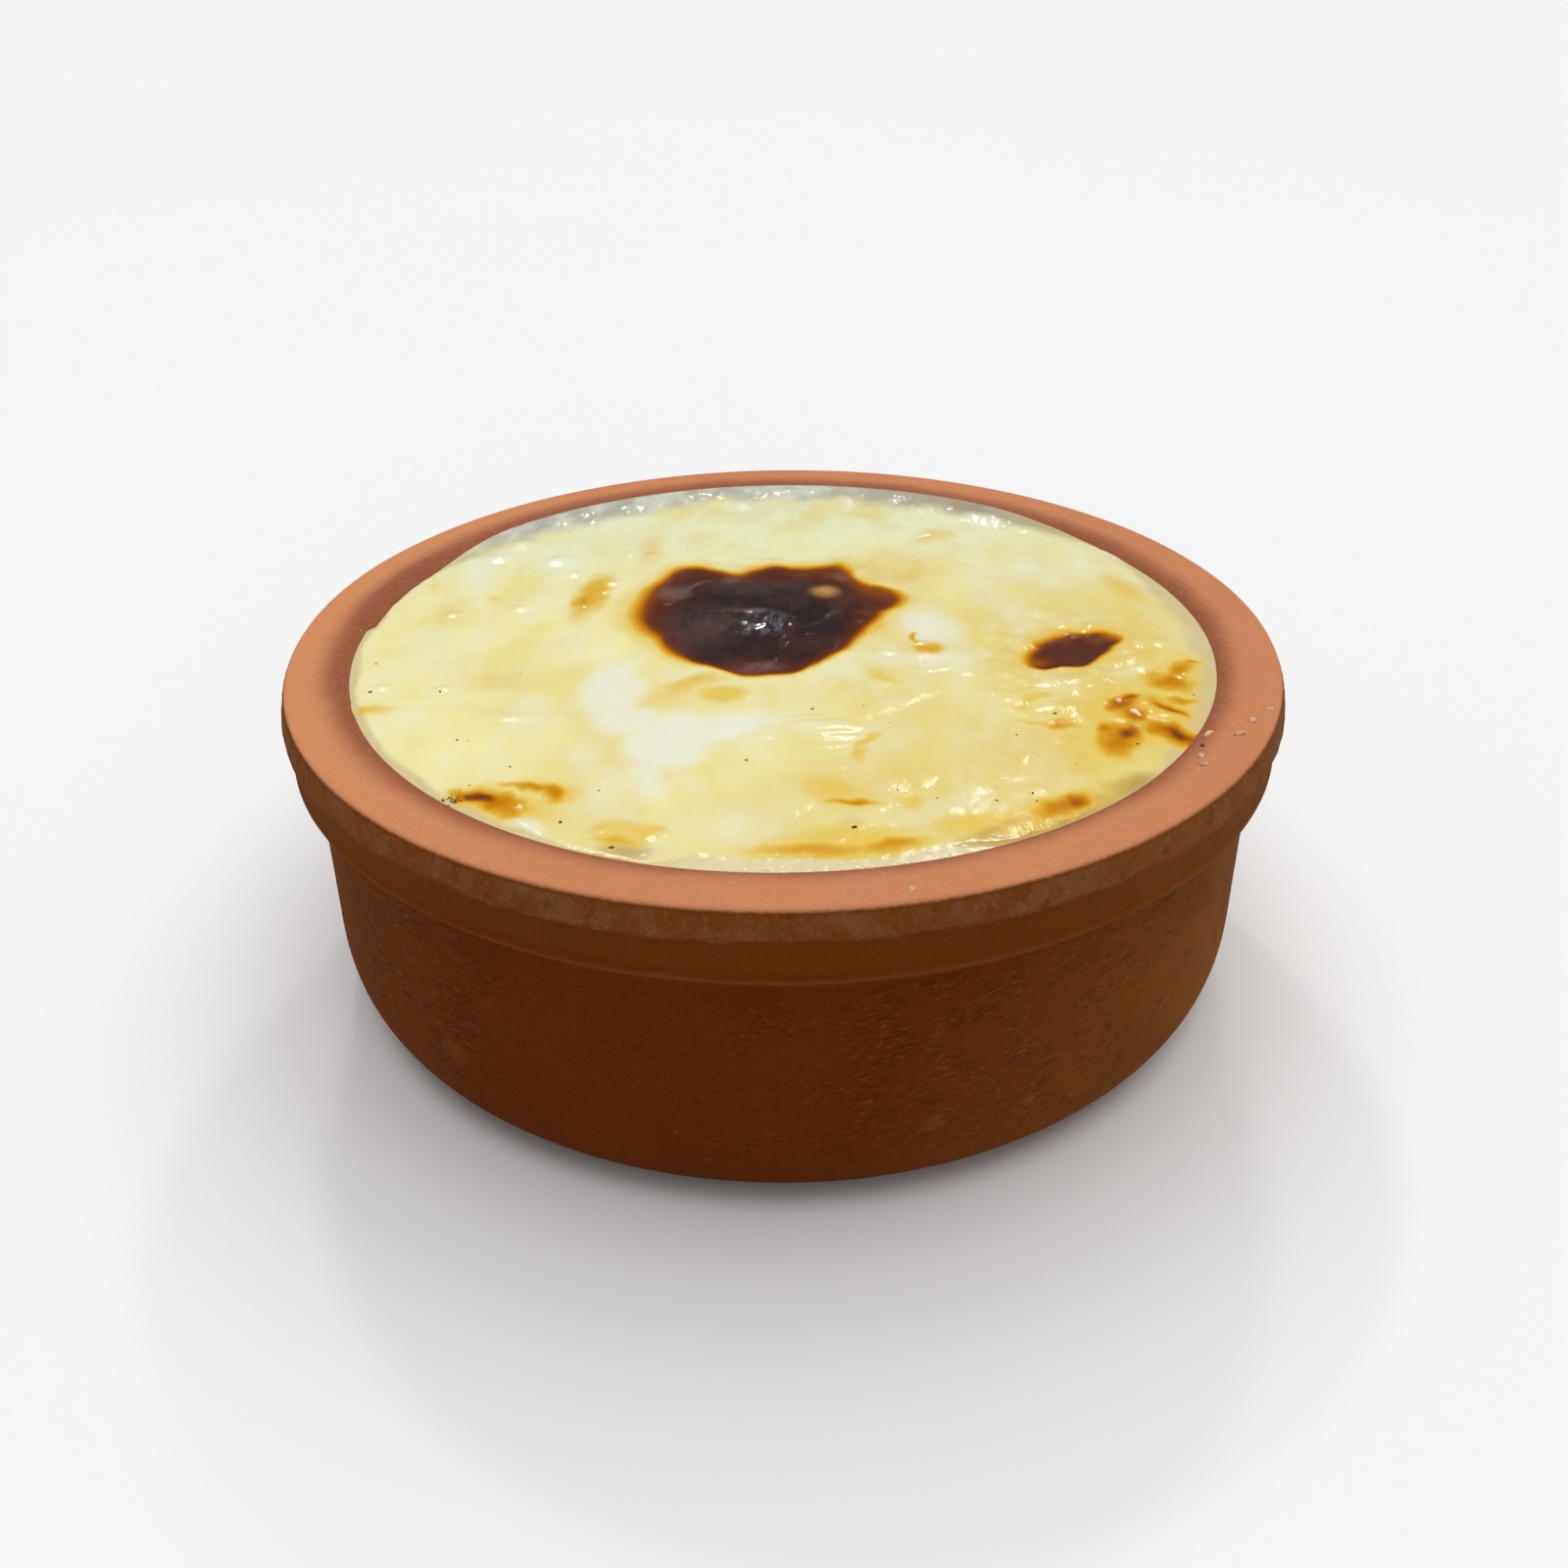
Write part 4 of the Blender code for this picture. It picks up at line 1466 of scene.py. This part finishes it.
def rim_height(radius, clay):
    """Height in mm of the rim's top at that radius in mm."""
    lip, centre = clay.lip_radius / MM, (clay.rim_radius - clay.rim_flat) / MM
    fall = max(0.0, centre - radius)
    return clay.height / MM - lip + math.sqrt(lip * lip - fall * fall)


def on_rim(clay, crumbs):
    """Rows for seeds_mesh: crumbs (x, y, half length, half width, turn) in mm and degrees."""
    rows = []
    for x, y, long, wide, turn in crumbs:
        top = rim_height(math.hypot(x, y), clay) + wide * 0.25
        sizes = (long * MM, wide * MM, wide * 0.5 * MM)
        rows.append((x * MM, y * MM, top * MM, *sizes, math.radians(turn)))
    return rows


def foam_spots(rng):
    """Bubbles of foam crowded against the clay at the front and a few loose ones."""
    crowded, loose = 52.7, 51.4
    spots = []
    for angle in np.radians(rng.uniform(-102, -71, 30)):
        radius = crowded - abs(rng.normal(0, 0.5))
        half = 0.22 + 0.16 * rng.uniform() ** 2
        spots.append((radius * math.cos(angle), radius * math.sin(angle), half, half, half * 0.5, 0))
    for angle in np.radians(LOOSE_BUBBLES):
        spots.append((loose * math.cos(angle), loose * math.sin(angle), 0.36, 0.36, 0.22, 0))
    return spots


class PUDDING_OT_foam(bpy.types.Operator):
    """Crowd foam bubbles along the front of the brim"""

    bl_idname = "pudding.foam"
    bl_label = "Foam"

    def execute(self, context):
        pudding = context.scene.baked_pudding
        rng = np.random.default_rng(71)
        foam = foam_material()
        grow_seeds("brim_foam", on_skin(pudding, foam_spots(rng), -0.3), 2, 0.0, MM, foam)
        return {"FINISHED"}


def foam_material():
    material, board = new_material("milk foam")
    at = board.add("ShaderNodeTexCoord", output="Object")
    blotch = board.smooth(board.noise(at, 0.6 * MM, 2.0), 0.35, 0.65)
    base = board.mix(blotch, tint(243, 230, 188), tint(252, 245, 216))
    finish_material(
        board,
        {"Base Color": base, "Roughness": 0.07 + blotch * 0.06},
        {"Specular IOR Level": 0.25},
    )
    return material


def speck_material():
    material, board = new_material("burnt specks")
    at = board.add("ShaderNodeTexCoord", output="Object")
    blotch = board.smooth(board.noise(at, 0.7 * MM, 2.0), 0.35, 0.65)
    base = board.mix(blotch, tint(122, 92, 50), tint(72, 52, 34))
    finish_material(board, {"Base Color": base, "Roughness": 0.45 + blotch * 0.2}, {"IOR": 1.4})
    return material


def crumb_material():
    material, board = new_material("dry crumbs")
    at = board.add("ShaderNodeTexCoord", output="Object")
    blotch = board.smooth(board.noise(at, 0.9 * MM, 3.0), 0.35, 0.65)
    base = board.mix(blotch, tint(230, 194, 158), tint(206, 154, 116))
    grainy = board.noise(at, 0.25 * MM, 2.0)
    bump = board.add("ShaderNodeBump", None, {"Height": grainy, "Strength": 0.4, "Distance": 0.1 * MM})
    looks = {"Base Color": base, "Roughness": 0.6 + blotch * 0.2, "Normal": bump}
    finish_material(board, looks, {"IOR": 1.4})
    return material


class PUDDING_OT_specks(bpy.types.Operator):
    """Drop the dark specks on the skin and the crumbs on the rim"""

    bl_idname = "pudding.specks"
    bl_label = "Specks and Crumbs"

    def execute(self, context):
        pudding, clay = context.scene.baked_pudding, context.scene.clay_bowl
        rng = np.random.default_rng(72)
        spots = []
        for x, y, size in SPECKS:
            spots.append((x, y, size * 0.9, size * 0.65, size * 0.3, rng.uniform(0, 180)))
        # Fine specks anywhere on the skin
        for _ in range(16):
            radius = 49 * math.sqrt(rng.uniform())
            angle = rng.uniform(0, 2 * math.pi)
            size = rng.uniform(0.06, 0.1)
            spots.append((radius * math.cos(angle), radius * math.sin(angle), size, size, size * 0.6, 0))
        # A cluster of small specks at the front left
        for x, y in rng.normal((-34.0, -38.4), (0.75, 0.6), (26, 2)):
            size = rng.uniform(0.1, 0.2)
            spots.append((x, y, size * 1.4, size * 0.6, size * 0.3, rng.uniform(0, 180)))
        dark = speck_material()
        grow_seeds("dark_specks", on_skin(pudding, spots, 0.0), 2, 0.1 * MM, 0.3 * MM, dark)
        grow_seeds("rim_crumbs", on_rim(clay, CRUMBS), 3, 0.8 * MM, 0.5 * MM, crumb_material())
        grow_seeds("rim_speck", on_rim(clay, DARK_CRUMBS), 3, 0.8 * MM, 0.5 * MM, dark)
        return {"FINISHED"}


# ---------------------------------------------------------------- stage


class PUDDING_OT_stage(bpy.types.Operator):
    """Lay the pale floor, hang the lights and set the camera"""

    bl_idname = "pudding.stage"
    bl_label = "Stage"

    def execute(self, context):
        stage = context.scene.pudding_stage
        add_floor(context, stage)
        add_lights(context)
        add_camera(context, stage)
        context.scene.view_settings.view_transform = "Standard"
        return {"FINISHED"}


def add_floor(context, stage):
    """A plain pale floor, 60 m across."""
    material, board = new_material("pale floor")
    at = board.add("ShaderNodeTexCoord", output="Object")
    patchy = board.mix(board.noise(at, 0.4, 2.0), tuple(stage.floor_colour), (0.97, 0.97, 0.97))
    finish_material(board, {"Base Color": patchy}, {"Roughness": 0.9, "Specular IOR Level": 0.1})
    half = 30.0
    mesh = bpy.data.meshes.new("floor")
    corners = [(-half, -half, 0), (half, -half, 0), (half, half, 0), (-half, half, 0)]
    mesh.from_pydata(corners, [], [(0, 1, 2, 3)])
    mesh.materials.append(material)
    floor = bpy.data.objects.new("floor", mesh)
    context.scene.collection.objects.link(floor)


def add_sun(context, name, position, energy, degrees):
    """A sun lamp aimed at the middle of the rim; the wider it looks, the softer its light."""
    lamp = bpy.data.lights.new(name, "SUN")
    lamp.energy = energy
    lamp.angle = math.radians(degrees)
    obj = bpy.data.objects.new(name, lamp)
    obj.location = position
    aim = Vector((0.0, 0.0, BOWL_TOP)) - Vector(position)
    obj.rotation_euler = aim.to_track_quat("-Z", "Y").to_euler()
    context.scene.collection.objects.link(obj)
    return obj


def add_lights(context):
    """A soft sky, two small windows at the back for glints, a front fill and a world dim overhead."""
    world = bpy.data.worlds.new("soft studio")
    world.use_nodes = True
    world.node_tree.nodes.clear()
    board = Board(world.node_tree)
    _, _, rise = board.split(board.add("ShaderNodeTexCoord", output="Generated"))
    bright, dim, sheen = [(value,) * 3 for value in (0.9, 0.17, 0.14)]
    glow = board.mix(board.smooth(rise, 0.04, 0.16), bright, dim)
    paths = board.add("ShaderNodeLightPath", output="Is Camera Ray")
    glow = board.mix(paths, glow, bright)
    glow = board.mix(paths.out("Is Glossy Ray"), glow, sheen)
    backdrop = board.add("ShaderNodeBackground", None, {"Color": glow})
    board.add("ShaderNodeOutputWorld", None, {"Surface": backdrop})
    context.scene.world = world
    sky = add_sun(context, "sky", (0.08, 0.12, 1.2), 1.9, 75)
    sky.visible_glossy = False
    add_sun(context, "window", (0.12, 0.66, 0.6), 0.24, 5)
    add_sun(context, "high window", (-0.14, 0.64, 0.72), 0.3, 5)
    add_sun(context, "fill", (0.1, -0.8, 0.6), 0.4, 60)


def add_camera(context, stage):
    """The lens is as long as the sensor is wide, 53 degrees across."""
    camera = bpy.data.cameras.new("camera")
    camera.lens = camera.sensor_width
    camera.clip_start = 0.01
    obj = bpy.data.objects.new("camera", camera)
    middle = Vector((0.0, 0.0, BOWL_TOP))
    back = Vector((0.0, -math.cos(stage.elevation), math.sin(stage.elevation)))
    obj.location = middle + back * stage.distance
    down = stage.elevation + stage.tilt
    aim = Quaternion((1, 0, 0), math.pi / 2 - down) @ Quaternion((0, 0, 1), -stage.roll)
    obj.rotation_euler = aim.to_euler()
    context.scene.collection.objects.link(obj)
    context.scene.camera = obj


# ---------------------------------------------------------------- add-on


class PUDDING_PT_panel(bpy.types.Panel):
    """Lists the pieces and their settings"""

    bl_idname = "PUDDING_PT_panel"
    bl_label = "Baked Rice Pudding"
    bl_space_type = "VIEW_3D"
    bl_region_type = "UI"
    bl_category = "Pudding"

    def draw(self, context):
        for operator in PIECES:
            self.layout.operator(operator.bl_idname)
        for settings in (context.scene.clay_bowl, context.scene.baked_pudding, context.scene.pudding_stage):
            box = self.layout.box()
            for name in settings.__annotations__:
                box.prop(settings, name)


PIECES = (PUDDING_OT_bowl, PUDDING_OT_skin, PUDDING_OT_foam, PUDDING_OT_specks, PUDDING_OT_stage)
SETTINGS = {"clay_bowl": ClaySettings, "baked_pudding": PuddingSettings, "pudding_stage": StageSettings}


def register():
    for cls in (*SETTINGS.values(), *PIECES, PUDDING_PT_panel):
        bpy.utils.register_class(cls)
    for name, group in SETTINGS.items():
        setattr(bpy.types.Scene, name, bpy.props.PointerProperty(type=group))


def unregister():
    for name in SETTINGS:
        delattr(bpy.types.Scene, name)
    for cls in reversed((*SETTINGS.values(), *PIECES, PUDDING_PT_panel)):
        bpy.utils.unregister_class(cls)


def main():
    register()
    bpy.ops.pudding.bowl()
    bpy.ops.pudding.skin()
    bpy.ops.pudding.foam()
    bpy.ops.pudding.specks()
    bpy.ops.pudding.stage()


if __name__ == "__main__":
    main()
